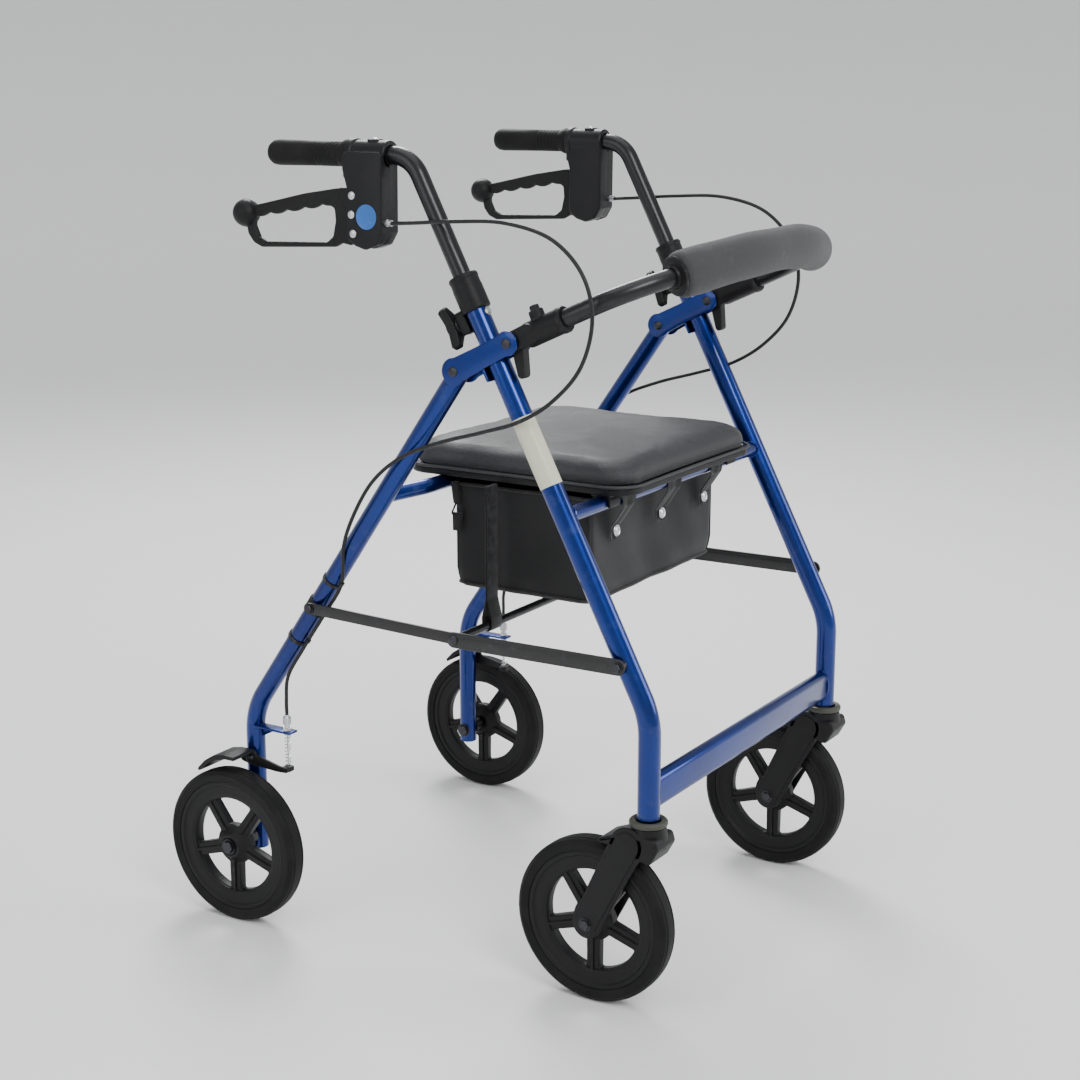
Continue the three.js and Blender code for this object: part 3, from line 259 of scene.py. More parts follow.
def spline(points: Sequence[Vector], each: int = 10) -> list[Vector]:
    """A centripetal curve through points.

    Args:
        points: the points that it passes.
        each: steps between two of them.

    Returns:
        The points of the curve.
    """
    ends = [points[0] * 2 - points[1], *points, points[-1] * 2 - points[-2]]
    found: list[Vector] = []
    for p0, p1, p2, p3 in zip(ends, ends[1:], ends[2:], ends[3:]):
        t1 = (p1 - p0).length ** 0.5
        t2 = t1 + (p2 - p1).length ** 0.5
        t3 = t2 + (p3 - p2).length ** 0.5
        for k in range(each):
            t = t1 + (t2 - t1) * k / each
            a1 = p0 * ((t1 - t) / t1) + p1 * (t / t1)
            a2 = p1 * ((t2 - t) / (t2 - t1)) + p2 * ((t - t1) / (t2 - t1))
            a3 = p2 * ((t3 - t) / (t3 - t2)) + p3 * ((t - t2) / (t3 - t2))
            b1 = a1 * ((t2 - t) / t2) + a2 * (t / t2)
            b2 = a2 * ((t3 - t) / (t3 - t1)) + a3 * ((t - t1) / (t3 - t1))
            found.append(b1 * ((t2 - t) / (t2 - t1)) + b2 * ((t - t1) / (t2 - t1)))
    found.append(points[-1].copy())
    return found


def ribbon(path: Sequence[Flat], radius: float, steps: int, t: float) -> list[Flat]:
    """The outline of a flat strap, seen on its edge.

    Args:
        path: the corners of its middle line.
        radius: the radius of the bends at them.
        steps: points in each bend, less one.
        t: half its thickness.

    Returns:
        The outline.
    """
    line = [Vector(p) for p in fillet(path, radius, steps, closed=False)]
    above, below = [], []
    for i, p in enumerate(line):
        step = (line[min(i + 1, len(line) - 1)] - line[max(i - 1, 0)]).normalized()
        above.append((p.x - step.y * t, p.y + step.x * t))
        below.append((p.x + step.y * t, p.y - step.x * t))
    return above + below[::-1]


def seat_matrix(origin: Vector, u: Vector, v: Vector) -> Matrix:
    """The matrix that takes a plate's own (u, v, thickness) to the frame.

    Args:
        origin: where the plate's zero lies, in the middle of its thickness.
        u: the direction of the outline's first number.
        v: the direction of its second.

    Returns:
        The matrix.
    """
    w = u.cross(v)
    return Matrix((
        (u.x, v.x, w.x, origin.x), (u.y, v.y, w.y, origin.y), (u.z, v.z, w.z, origin.z), (0, 0, 0, 1),
    ))


AXIS_X, AXIS_Y, AXIS_Z = Vector((1, 0, 0)), Vector((0, 1, 0)), Vector((0, 0, 1))


def side_view(x: float) -> Matrix:
    """The matrix of a plate that is drawn in (y, z) and lies in the side plane x."""
    return seat_matrix(Vector((x, 0, 0)), AXIS_Y, AXIS_Z)


# ---- mesh drafts
class Draft:
    """Closed shells that are gathered into one mesh."""

    def __init__(self) -> None:
        """Starts with no shell."""
        self.bm = bmesh.new()

    def skin(self, rings: Sequence[Sequence[Vector]], loop: bool = False) -> "Draft":
        """Joins rings of points with quads.

        Args:
            rings: the rings in order; a ring of one point is a pole.
            loop: whether the last ring joins the first. Otherwise the end rings are filled.

        Returns:
            The draft.
        """
        rows = [[self.bm.verts.new(p) for p in ring] for ring in rings]
        pairs = list(zip(rows, rows[1:])) + ([(rows[-1], rows[0])] if loop else [])
        for low, high in pairs:
            count = max(len(low), len(high))
            for i in range(count):
                j = (i + 1) % count
                if len(low) == 1:
                    self.bm.faces.new((low[0], high[j], high[i]))
                elif len(high) == 1:
                    self.bm.faces.new((low[i], low[j], high[0]))
                else:
                    self.bm.faces.new((low[i], low[j], high[j], high[i]))
        if not loop:
            for ring in (rows[0][::-1], rows[-1]):
                if len(ring) > 2:
                    self.bm.faces.new(ring)
        return self

    def tube(
        self,
        path: Sequence[Vector],
        radius: Union[float, Sequence[float]],
        sides: int = 28,
        dome: float = 0.0,
        wide: float = 1.0,
    ) -> "Draft":
        """Sweeps a round or oval section along a line.

        Args:
            path: the line.
            radius: one radius, or one for each point.
            sides: sides of the section.
            dome: how far each end bulges.
            wide: how much wider than high the section is.

        Returns:
            The draft.
        """
        count = len(path)
        radii = [radius] * count if isinstance(radius, (int, float)) else list(radius)
        tangents = []
        for i in range(count):
            tangents.append((path[min(i + 1, count - 1)] - path[max(i - 1, 0)]).normalized())
        normal = tangents[0].orthogonal().normalized()
        if abs(tangents[0].x) < 0.9:
            normal = (AXIS_X - tangents[0] * tangents[0].x).normalized()
        rings = []

        def ring(at: Vector, along: Vector, n: Vector, r: float) -> list[Vector]:
            """One section's points.

            Args:
                at: the section's middle.
                along: the line's direction.
                n: the direction of its width.
                r: its radius.

            Returns:
                Its points.
            """
            other = along.cross(n)
            turns = [2 * pi * (k + 0.5) / sides for k in range(sides)]
            return [at + n * (r * wide * cos(a)) + other * (r * sin(a)) for a in turns]

        bulge = [pi / 2 * k / 4 for k in (3, 2, 1)] if dome else []
        for a in bulge:
            rings.append(
                ring(path[0] - tangents[0] * dome * sin(a), tangents[0], normal, radii[0] * cos(a))
            )
        for i in range(count):
            if i:
                normal = tangents[i - 1].rotation_difference(tangents[i]) @ normal
            rings.append(ring(path[i], tangents[i], normal, radii[i]))
        for a in bulge[::-1]:
            rings.append(
                ring(path[-1] + tangents[-1] * dome * sin(a), tangents[-1], normal, radii[-1] * cos(a))
            )
        return self.skin(rings)

    def hoop(self, line: Sequence[Vector], radius: float, axis: Vector = AXIS_Z, sides: int = 8) -> "Draft":
        """Sweeps a thin round cord along a closed line.

        Args:
            line: the line.
            radius: the cord's radius.
            axis: the direction that is square to the line.
            sides: sides of its section.

        Returns:
            The draft.
        """
        rings = []
        turns = [2 * pi * k / sides for k in range(sides)]
        for i, p in enumerate(line):
            out = (line[(i + 1) % len(line)] - line[i - 1]).normalized().cross(axis)
            rings.append([p + out * (radius * cos(a)) + axis * (radius * sin(a)) for a in turns])
        return self.skin(rings, loop=True)

    def lathe(
        self, profile: Sequence[Flat], axis: Vector, at: Vector, sides: int = 40, ring: bool = False
    ) -> "Draft":
        """Turns a profile round an axis.

        Args:
            profile: (radius, distance along the axis).
            axis: the axis' direction.
            at: where the distance is zero.
            sides: sides of the circle.
            ring: whether the profile closes on itself.

        Returns:
            The draft.
        """
        spin = Quaternion(AXIS_Z.rotation_difference(axis.normalized()))
        rings = []
        for r, h in profile:
            if r < 1e-6:
                rings.append([at + spin @ Vector((0, 0, h))])
                continue
            turns = [2 * pi * (k + 0.5) / sides for k in range(sides)]
            rings.append([at + spin @ Vector((r * cos(a), r * sin(a), h)) for a in turns])
        return self.skin(rings, loop=ring)

    def plate(
        self,
        outline: Sequence[Flat],
        half: float,
        bevel: float,
        place: Matrix,
        holes: Sequence[Sequence[Flat]] = (),
        steps: int = 3,
    ) -> "Draft":
        """A flat plate with rounded rims.

        Args:
            outline: its outer outline.
            half: half its thickness.
            bevel: radius of its rims.
            place: the matrix of its own (u, v, thickness).
            holes: outlines of the openings in it.
            steps: steps of the rim's arc.

        Returns:
            The draft.
        """
        loops = [self._turned(outline, True)] + [self._turned(hole, False) for hole in holes]
        levels = [(bevel * (1 - cos(a)), half - bevel + bevel * sin(a))
                  for a in (pi / 2 * k / steps for k in range(steps + 1))]
        stack = [(inset, -w) for inset, w in reversed(levels)] + levels
        caps: dict[float, list[list[bmesh.types.BMVert]]] = {-1: [], 1: []}
        for loop in loops:
            normals = self._inward(loop)
            rows = []
            for inset, w in stack:
                rows.append([
                    self.bm.verts.new(place @ Vector((p[0] + n.x * inset, p[1] + n.y * inset, w)))
                    for p, n in zip(loop, normals)
                ])
            for low, high in zip(rows, rows[1:]):
                for i in range(len(loop)):
                    j = (i + 1) % len(loop)
                    self.bm.faces.new((low[i], low[j], high[j], high[i]))
            caps[-1].append(rows[0])
            caps[1].append(rows[-1])
        for rings in caps.values():
            edges = [self.bm.edges.get((r[i - 1], r[i])) for r in rings for i in range(len(r))]
            bmesh.ops.triangle_fill(self.bm, use_beauty=True, use_dissolve=False, edges=edges)
        return self

    @staticmethod
    def _turned(loop: Sequence[Flat], left: bool) -> list[Flat]:
        """The loop, run so that the material is on its left, with doubled points left out.

        Args:
            loop: the outline.
            left: whether the material is on its left.

        Returns:
            The outline.
        """
        kept = [p for i, p in enumerate(loop) if dist(p, loop[i - 1]) > 1e-5]
        area = sum(kept[i - 1][0] * p[1] - p[0] * kept[i - 1][1] for i, p in enumerate(kept))
        return kept if (area > 0) == left else kept[::-1]

    @staticmethod
    def _inward(loop: Sequence[Flat]) -> list[Vector]:
        """At each point, the step that moves both its sides inwards by one.

        Args:
            loop: the outline.

        Returns:
            The steps.
        """
        steps = []
        for i, p in enumerate(loop):
            into = (Vector(p) - Vector(loop[i - 1])).normalized()
            out = (Vector(loop[(i + 1) % len(loop)]) - Vector(p)).normalized()
            n1, n2 = Vector((-into.y, into.x)), Vector((-out.y, out.x))
            middle = n1 + n2
            length = max(middle.dot(n1), 0.35)
            steps.append(middle / length)
        return steps

    def block(self, size: Vector, place: Matrix, bevel: float = 0.001, corner: float = 0.002) -> "Draft":
        """A rounded box with its middle at the place matrix' origin.

        Args:
            size: its lengths.
            place: the matrix of its middle.
            bevel: radius of its rims.
            corner: radius of its outline's corners.

        Returns:
            The draft.
        """
        x, y, z = size.x / 2, size.y / 2, size.z / 2
        outline = fillet([(-x, -y), (x, -y), (x, y), (-x, y)], corner, 4)
        return self.plate(outline, z, bevel, place)

    def ball(self, at: Vector, radius: float, axis: Vector = AXIS_Z, tall: float = 1.0) -> "Draft":
        """A ball, or with tall an egg along its axis.

        Args:
            at: its middle.
            radius: its radius.
            axis: the direction of its pole.
            tall: its height over its width.

        Returns:
            The draft.
        """
        turns = [pi * k / 16 for k in range(17)]
        profile = [(radius * sin(a), -radius * tall * cos(a)) for a in turns]
        profile[0] = (0.0, -radius * tall)
        profile[-1] = (0.0, radius * tall)
        return self.lathe(profile, axis, at, 36)

    def rod(self, a: Vector, b: Vector, radius: float, sides: int = 24, edge: float = 0.0004) -> "Draft":
        """A straight rod with broken edges.

        Args:
            a: one end.
            b: the other end.
            radius: its radius.
            sides: sides of its section.
            edge: how far its rims are broken.

        Returns:
            The draft.
        """
        length = (b - a).length
        inner = radius - edge
        profile = [(0, 0), (inner, 0), (radius, edge), (radius, length - edge), (inner, length), (0, length)]
        return self.lathe(profile, b - a, a, sides)

    def rivet(self, at: Vector, out: Vector, radius: float, tall: float = 0.0016) -> "Draft":
        """A domed rivet head that stands on a face.

        Args:
            at: where it stands.
            out: the direction that it faces.
            radius: its radius.
            tall: its height.

        Returns:
            The draft.
        """
        dome = [(radius * cos(a), tall * (0.35 + 0.65 * sin(a)))
                for a in (pi / 2 * k / 5 for k in range(5))]
        return self.lathe([(0, -0.001), (radius, -0.001), *dome, (0, tall)], out, at, 28)

    def bolt(self, at: Vector, out: Vector, radius: float, tall: float) -> "Draft":
        """A hexagon head on its washer.

        Args:
            at: where it stands.
            out: the direction that it faces.
            radius: its radius.
            tall: its height.

        Returns:
            The draft.
        """
        washer = radius * 1.22
        self.lathe([(0, -0.0004), (washer, -0.0004), (washer, 0.0009), (0, 0.0009)], out, at, 28)
        head = [(0, 0.0008), (radius, 0.0008), (radius, tall - 0.0008), (radius * 0.86, tall), (0, tall)]
        return self.lathe(head, out, at, 6)

    def mesh(self, name: str, sharp: float) -> bpy.types.Mesh:
        """Turns the draft into a mesh with smooth faces.

        Args:
            name: the mesh's name.
            sharp: edges that turn by more degrees than this stay sharp.

        Returns:
            The mesh.
        """
        bmesh.ops.recalc_face_normals(self.bm, faces=self.bm.faces)
        data = bpy.data.meshes.new(name)
        self.bm.to_mesh(data)
        self.bm.free()
        data.polygons.foreach_set("use_smooth", [True] * len(data.polygons))
        data.set_sharp_from_angle(angle=radians(sharp))
        return data

    def object(self, name: str, sharp: float = 38.0) -> bpy.types.Object:
        """Turns the draft into an object in the scene.

        Args:
            name: its name.
            sharp: edges that turn by more degrees stay sharp.

        Returns:
            The object.
        """
        made = bpy.data.objects.new(name, self.mesh(name, sharp))
        bpy.context.scene.collection.objects.link(made)
        return made


# ---- shaders
class Wire:
    """An output socket, on which arithmetic adds Math nodes."""

    def __init__(self, graph: "Graph", socket: bpy.types.NodeSocket) -> None:
        """Wraps a socket of a graph."""
        self.graph = graph
        self.socket = socket

    def _math(self, operation: str, first: Value, second: Value) -> "Wire":
        """One Math node on two values."""
        return self.graph.node("ShaderNodeMath", {"operation": operation}, {0: first, 1: second})

    def __add__(self, other: Value) -> "Wire":
        """This plus other."""
        return self._math("ADD", self, other)

    def __sub__(self, other: Value) -> "Wire":
        """This less other."""
        return self._math("SUBTRACT", self, other)

    def __rsub__(self, other: Value) -> "Wire":
        """Other less this."""
        return self._math("SUBTRACT", other, self)

    def __mul__(self, other: Value) -> "Wire":
        """This times other."""
        return self._math("MULTIPLY", self, other)

    __radd__ = __add__
    __rmul__ = __mul__

    def over(self, low: float, high: float) -> "Wire":
        """0 below low and 1 above high, with a smooth step between."""
        sockets = {"Value": self, "From Min": low, "From Max": high}
        return self.graph.node("ShaderNodeMapRange", {"interpolation_type": "SMOOTHSTEP"}, sockets)


class Graph:
    """The nodes of one material."""

    def __init__(self, name: str) -> None:
        """Starts a material with a bare shader.

        Args:
            name: its name.
        """
        self.material = bpy.data.materials.new(name)
        self.material.use_nodes = True
        self.tree = self.material.node_tree
        self.shader = self.tree.nodes["Principled BSDF"]

    def node(self, kind: str, settings: dict, sockets: dict, output: Union[int, str] = 0) -> Wire:
        """Adds a node.

        Args:
            kind: the node's type.
            settings: its properties, set first; "stops" sets a ramp's stops.
            sockets: values or wires of its inputs, by name or number.
            output: the output that is wanted.

        Returns:
            A wire from that output.
        """
        made = self.tree.nodes.new(kind)
        for key, value in settings.items():
            if key == "stops":
                ramp = made.color_ramp.elements
                while len(ramp) < len(value):
                    ramp.new(1.0)
                for element, (place, colour) in zip(ramp, value):
                    element.position = place
                    element.color = (*colour, 1.0)
            else:
                setattr(made, key, value)
        for key, value in sockets.items():
            self.plug(made.inputs[key], value)
        return Wire(self, made.outputs[output])

    def plug(self, socket: bpy.types.NodeSocket, value: Value) -> None:
        """Sets an input to a value, or links a wire to it.

        Args:
            socket: the input.
            value: the value or the wire.
        """
        if isinstance(value, Wire):
            self.tree.links.new(value.socket, socket)
        elif socket.type == "RGBA" and len(value) == 3:
            socket.default_value = (*value, 1.0)
        else:
            socket.default_value = value

    def place(self) -> Wire:
        """Where a point is in its own piece, in metres."""
        return self.node("ShaderNodeTexCoord", {}, {}, "Object")

    def noise(self, scale: float, detail: float = 3.0, stretch: Sequence[float] = (1, 1, 1)) -> Wire:
        """A soft random value from 0 to 1.

        Args:
            scale: waves in a metre.
            detail: finer layers.
            stretch: how much closer the waves are along each axis.

        Returns:
            The value.
        """
        sockets = {0: self.place(), 1: tuple(stretch)}
        where = self.node("ShaderNodeVectorMath", {"operation": "MULTIPLY"}, sockets)
        return self.node("ShaderNodeTexNoise", {}, {"Vector": where, "Scale": scale, "Detail": detail})

    def cells(self, scale: float, feature: str = "F1") -> Wire:
        """The distance pattern of packed cells, scale of them in a metre."""
        sockets = {"Vector": self.place(), "Scale": scale, "Randomness": 1.0}
        return self.node("ShaderNodeTexVoronoi", {"feature": feature}, sockets, "Distance")

    def threads(self, scale: float, direction: str) -> Wire:
        """Parallel ridges from 0 to 1, square to an axis."""
        sockets = {"Vector": self.place(), "Scale": scale, "Distortion": 0.0}
        return self.node("ShaderNodeTexWave", {"bands_direction": direction}, sockets, "Fac")

    def blend(self, factor: Value, a: Value, b: Value) -> Wire:
        """Mixes two colours."""
        return self.node("ShaderNodeMix", {"data_type": "RGBA"}, {0: factor, 6: a, 7: b}, 2)

    def bump(self, height: Value, strength: float, distance: float) -> Wire:
        """A normal that rises and falls with a height."""
        sockets = {"Height": height, "Strength": strength, "Distance": distance}
        return self.node("ShaderNodeBump", {}, sockets, "Normal")

    def edges(self) -> Wire:
        """1 on worn outer edges and 0 on flat faces."""
        sharp = self.node("ShaderNodeNewGeometry", {}, {}, "Pointiness")
        return sharp.over(0.53, 0.6)

    def dress(self, **sockets: Value) -> bpy.types.Material:
        """Sets the shader's inputs, with spaces written as underscores, and returns the material.

        Args:
            sockets: their values or wires.

        Returns:
            The material.
        """
        for key, value in sockets.items():
            self.plug(self.shader.inputs[key.replace("_", " ")], value)
        return self.material


Colour = tuple[float, float, float]


@dataclass(frozen=True)
class Finish:
    """A surface, and the record's material slot that it belongs to."""

    slot: str
    colour: Colour
    roughness: float = 0.5
    name: str = ""

    def material(self) -> bpy.types.Material:
        """The material, made once."""
        title = "mat_" + (self.name or self.slot)
        return bpy.data.materials.get(title) or self.paint(Graph(title))

    def paint(self, graph: Graph) -> bpy.types.Material:
        """Adds this surface's nodes to a graph."""
        raise NotImplementedError


@dataclass(frozen=True)
class Lacquer(Finish):
    """Clear tinted lacquer over bright tube, with flakes and a clear coat."""

    deep: Colour = (0.002, 0.012, 0.12)
    metallic: float = 0.78
    coat: float = 0.55

    def paint(self, graph: Graph) -> bpy.types.Material:
        """Flakes, a slow change of depth and a little orange peel.

        Args:
            graph: the material's graph.

        Returns:
            The material.
        """
        flakes = graph.cells(2600)
        depth = graph.noise(9, 3)
        dust = graph.noise(60, 4).over(0.56, 0.8)
        colour = graph.blend(depth.over(0.3, 0.75) * 0.35 + flakes * 0.2, self.colour, self.deep)
        colour = graph.blend(dust * 0.05, colour, (0.35, 0.38, 0.42))
        peel = graph.noise(420, 2)
        return graph.dress(
            Base_Color=colour,
            Metallic=self.metallic,
            Roughness=flakes * 0.12 + (self.roughness + dust * 0.12),
            Coat_Weight=self.coat, Coat_Roughness=0.08,
            Normal=graph.bump(peel + flakes * 0.4, 0.05, 0.0004),
        )


@dataclass(frozen=True)
class DrawnTube(Finish):
    """Dark anodised tube with faint drawn lines."""

    stretch: Colour = (1.0, 0.04, 0.04)

    def paint(self, graph: Graph) -> bpy.types.Material:
        """Lines along the tube, cloudy depth and rubbed spots.

        Args:
            graph: the material's graph.

        Returns:
            The material.
        """
        lines = graph.noise(900, 3, self.stretch)
        cloud = graph.noise(14, 3)
        rubbed = graph.noise(55, 5).over(0.62, 0.78)
        colour = graph.blend(cloud * 0.5, self.colour, tuple(1.9 * c for c in self.colour))
        colour = graph.blend(rubbed * 0.07, colour, (0.22, 0.22, 0.23))
        return graph.dress(
            Base_Color=colour,
            Metallic=0.55,
            Roughness=self.roughness + lines * 0.14,
            Coat_Weight=0.25, Coat_Roughness=0.2,
            Normal=graph.bump(lines, 0.08, 0.0003),
        )


@dataclass(frozen=True)
class Moulded(Finish):
    """Moulded plastic with a fine spark grain."""

    grain: float = 1400.0
    depth: float = 0.22

    def paint(self, graph: Graph) -> bpy.types.Material:
        """Grain, flow marks, and paler scuffs on outer edges.

        Args:
            graph: the material's graph.

        Returns:
            The material.
        """
        pits = graph.cells(self.grain)
        flow = graph.noise(22, 4)
        scuff = graph.edges() * graph.noise(160, 4).over(0.4, 0.7)
        colour = graph.blend(flow * 0.6, self.colour, tuple(1.7 * c + 0.002 for c in self.colour))
        colour = graph.blend(scuff * 0.35, colour, (0.12, 0.12, 0.125))
        return graph.dress(
            Base_Color=colour,
            Roughness=self.roughness + flow * 0.16 - pits * 0.05,
            Specular_IOR_Level=0.22,
            Normal=graph.bump(pits + flow * 0.5, self.depth, 0.0005),
        )


@dataclass(frozen=True)
class Rubber(Finish):
    """Soft black rubber, dusty where it rolls."""

    dust: float = 0.25

    def paint(self, graph: Graph) -> bpy.types.Material:
        """Skin pores, a dusty bloom and small nicks.

        Args:
            graph: the material's graph.

        Returns:
            The material.
        """
        pores = graph.cells(1800)
        bloom = graph.noise(30, 5).over(0.35, 0.75)
        nicks = graph.noise(240, 3).over(0.66, 0.72)
        colour = graph.blend(bloom * self.dust, self.colour, (0.09, 0.088, 0.083))
        colour = graph.blend(nicks * 0.3, colour, (0.004, 0.004, 0.004))
        return graph.dress(
            Base_Color=colour,
            Roughness=self.roughness + bloom * 0.18,
            Specular_IOR_Level=0.16,
            Normal=graph.bump(pores * 0.6 - nicks, 0.3, 0.0005),
        )


@dataclass(frozen=True)
class Foam(Finish):
    """Closed-cell foam with a thin skin."""

    def paint(self, graph: Graph) -> bpy.types.Material:
        """Small cells with painted shade in their low parts, cloudy tone and a few pressed spots.

        Args:
            graph: the material's graph.

        Returns:
            The material.
        """
        cells = graph.cells(1100)
        cloud = graph.noise(18, 4)
        pressed = graph.noise(70, 3).over(0.58, 0.7)
        colour = graph.blend(cloud, self.colour, tuple(1.5 * c for c in self.colour))
        # Painted shade: darker in the low parts of the cells, where the bump sinks.
        colour = graph.blend(cells.over(0.25, 0.6) * 0.5, colour, tuple(0.55 * c for c in self.colour))
        return graph.dress(
            Base_Color=colour,
            Roughness=self.roughness - pressed * 0.1,
            Sheen_Weight=0.12, Sheen_Roughness=0.5,
            Normal=graph.bump(cloud * 2.0 - cells - pressed * 0.8, 0.45, 0.0008),
        )


@dataclass(frozen=True)
class Vinyl(Finish):
    """Coated cloth with a leather grain."""

    def paint(self, graph: Graph) -> bpy.types.Material:
        """Creased grain with painted shade in its creases, polished high spots and a soft change of tone.

        Args:
            graph: the material's graph.

        Returns:
            The material.
        """
        creases = graph.cells(330, "DISTANCE_TO_EDGE").over(0.0, 0.12)
        fine = graph.cells(900)
        cloud = graph.noise(7, 4)
        worn = graph.noise(16, 4).over(0.45, 0.8)
        colour = graph.blend(cloud, self.colour, tuple(1.35 * c for c in self.colour))
        # Painted shade: darker along the grain's creases, where the bump sinks.
        colour = graph.blend((1 - creases) * 0.55, colour, tuple(0.45 * c for c in self.colour))
        return graph.dress(
            Base_Color=colour,
            Roughness=self.roughness - worn * 0.14 + (1 - creases) * 0.12,
            Specular_IOR_Level=0.4,
            Normal=graph.bump(creases + fine * 0.3 + cloud * 0.6, 0.4, 0.0006),
        )


@dataclass(frozen=True)
class Woven(Finish):
    """Plain woven nylon."""

    pitch: float = 620.0

    def paint(self, graph: Graph) -> bpy.types.Material:
        """Crossing threads, slubs and paler rubbed folds.

        Args:
            graph: the material's graph.

        Returns:
            The material.
        """
        warp = graph.threads(self.pitch, "Z")
        weft = graph.threads(self.pitch, "DIAGONAL")
        slub = graph.noise(90, 4, (1.0, 1.0, 3.0))
        rubbed = graph.edges() * graph.noise(120, 3).over(0.35, 0.7)
        lit = tuple(2.4 * c + 0.004 for c in self.colour)
        colour = graph.blend(warp * 0.35 + weft * 0.35, self.colour, lit)
        colour = graph.blend(rubbed * 0.4, colour, (0.075, 0.075, 0.08))
        return graph.dress(
            Base_Color=colour,
            Roughness=self.roughness + slub * 0.15,
            Specular_IOR_Level=0.25,
            Sheen_Weight=0.2, Sheen_Roughness=0.45,
            Normal=graph.bump(warp + weft + slub * 1.5, 0.35, 0.0005),
        )


@dataclass(frozen=True)
class Plated(Finish):
    """Zinc plated steel."""

    def paint(self, graph: Graph) -> bpy.types.Material:
        """Fine brushing with dull spots.

        Args:
            graph: the material's graph.

        Returns:
            The material.
        """
        brushed = graph.noise(1500, 2, (1.0, 1.0, 0.1))
        dull = graph.noise(110, 4).over(0.5, 0.8)
        colour = graph.blend(dull * 0.5, self.colour, tuple(0.6 * c for c in self.colour))
        return graph.dress(
            Base_Color=colour,
            Metallic=1.0,
            Roughness=self.roughness + brushed * 0.14 + dull * 0.15,
            Normal=graph.bump(brushed, 0.1, 0.0002),
        )


@dataclass(frozen=True)
class Printed(Finish):
    """A plain sticker or badge, slightly rubbed."""

    def paint(self, graph: Graph) -> bpy.types.Material:
        """Faint mottling and rubbed edges.

        Args:
            graph: the material's graph.

        Returns:
            The material.
        """
        mottle = graph.noise(130, 4)
        rubbed = graph.noise(260, 3).over(0.6, 0.75)
        colour = graph.blend(mottle * 0.2, self.colour, tuple(0.7 * c for c in self.colour))
        colour = graph.blend(rubbed * 0.12, colour, (0.5, 0.5, 0.5))
        return graph.dress(
            Base_Color=colour,
            Roughness=self.roughness + mottle * 0.15,
            Coat_Weight=0.3, Coat_Roughness=0.15,
            Normal=graph.bump(mottle, 0.05, 0.0002),
        )


BLUE = Lacquer("frame_blue", (0.001, 0.026, 0.205), 0.24, deep=(0.001, 0.002, 0.05), metallic=0.9)
SATIN = DrawnTube("tube_black", (0.009, 0.0092, 0.0105), 0.3)
PLASTIC = Moulded("plastic_black", (0.005, 0.005, 0.0056), 0.4)
RING = Moulded("plastic_black", (0.045, 0.047, 0.038), 0.38, "ring_plastic", grain=1500.0)
HOUSING = Moulded("plastic_black", (0.0065, 0.0065, 0.0075), 0.34, "housing_plastic", 1900.0, 0.15)
GRIP = Rubber("grip_rubber", (0.006, 0.006, 0.0065), 0.58, dust=0.08)
TYRE = Rubber("tyre_rubber", (0.005, 0.005, 0.0054), 0.52, dust=0.09)
NYLON_HUB = Moulded("hub_plastic", (0.0042, 0.0042, 0.0046), 0.4, grain=1200.0)
FOAM = Foam("foam_grey", (0.032, 0.0323, 0.0345), 0.84)
VINYL = Vinyl("seat_vinyl", (0.026, 0.027, 0.0295), 0.5)
NYLON = Woven("bag_nylon", (0.0045, 0.0045, 0.005), 0.58)
WEBBING = Woven("bag_nylon", (0.0048, 0.0048, 0.0052), 0.6, "webbing", pitch=330.0)
STEEL = Plated("steel", (0.6, 0.61, 0.63), 0.26)
BLACKENED = Plated("steel", (0.055, 0.055, 0.062), 0.3, "blackened_steel")
SLEEVE = Moulded("cable_black", (0.014, 0.014, 0.015), 0.32, grain=900.0, depth=0.08)
LINK = Lacquer("link_black", (0.009, 0.009, 0.0098), 0.34, "", (0.004, 0.004, 0.0045), 0.15, 0.15)
BADGE = Printed("plastic_black", (0.006, 0.11, 0.42), 0.35, "badge")
STICKER = Printed("frame_blue", (0.60, 0.61, 0.47), 0.45, "sticker")
ALL_FINISHES = (BLUE, SATIN, PLASTIC, GRIP, TYRE, NYLON_HUB, FOAM, VINYL, NYLON, STEEL, SLEEVE, LINK)


def piece(
    made: Union[Draft, bpy.types.Object],
    name: str,
    finish: Finish,
    body: str,
    nodes: Sequence[str] = (),
    sharp: float = 38.0,
) -> bpy.types.Object:
    """Finishes one piece of the walker and hands it to the frame.

    Args:
        made: its draft or its object.
        name: its name.
        finish: its surface.
        body: the body that it rides on; with an empty name it rides on none.
        nodes: the CAD nodes that it stands for.
        sharp: the angle above which an edge stays sharp, in degrees.

    Returns:
        The object.
    """
    obj = made.object(name, sharp) if isinstance(made, Draft) else made
    obj.name = name
    obj.data.materials.clear()
    obj.data.materials.append(finish.material())
    if nodes:
        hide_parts(*nodes)
    if body:
        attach(obj, body)
    LOG.info("piece %s on %s", name, body or "two bodies")
    return obj


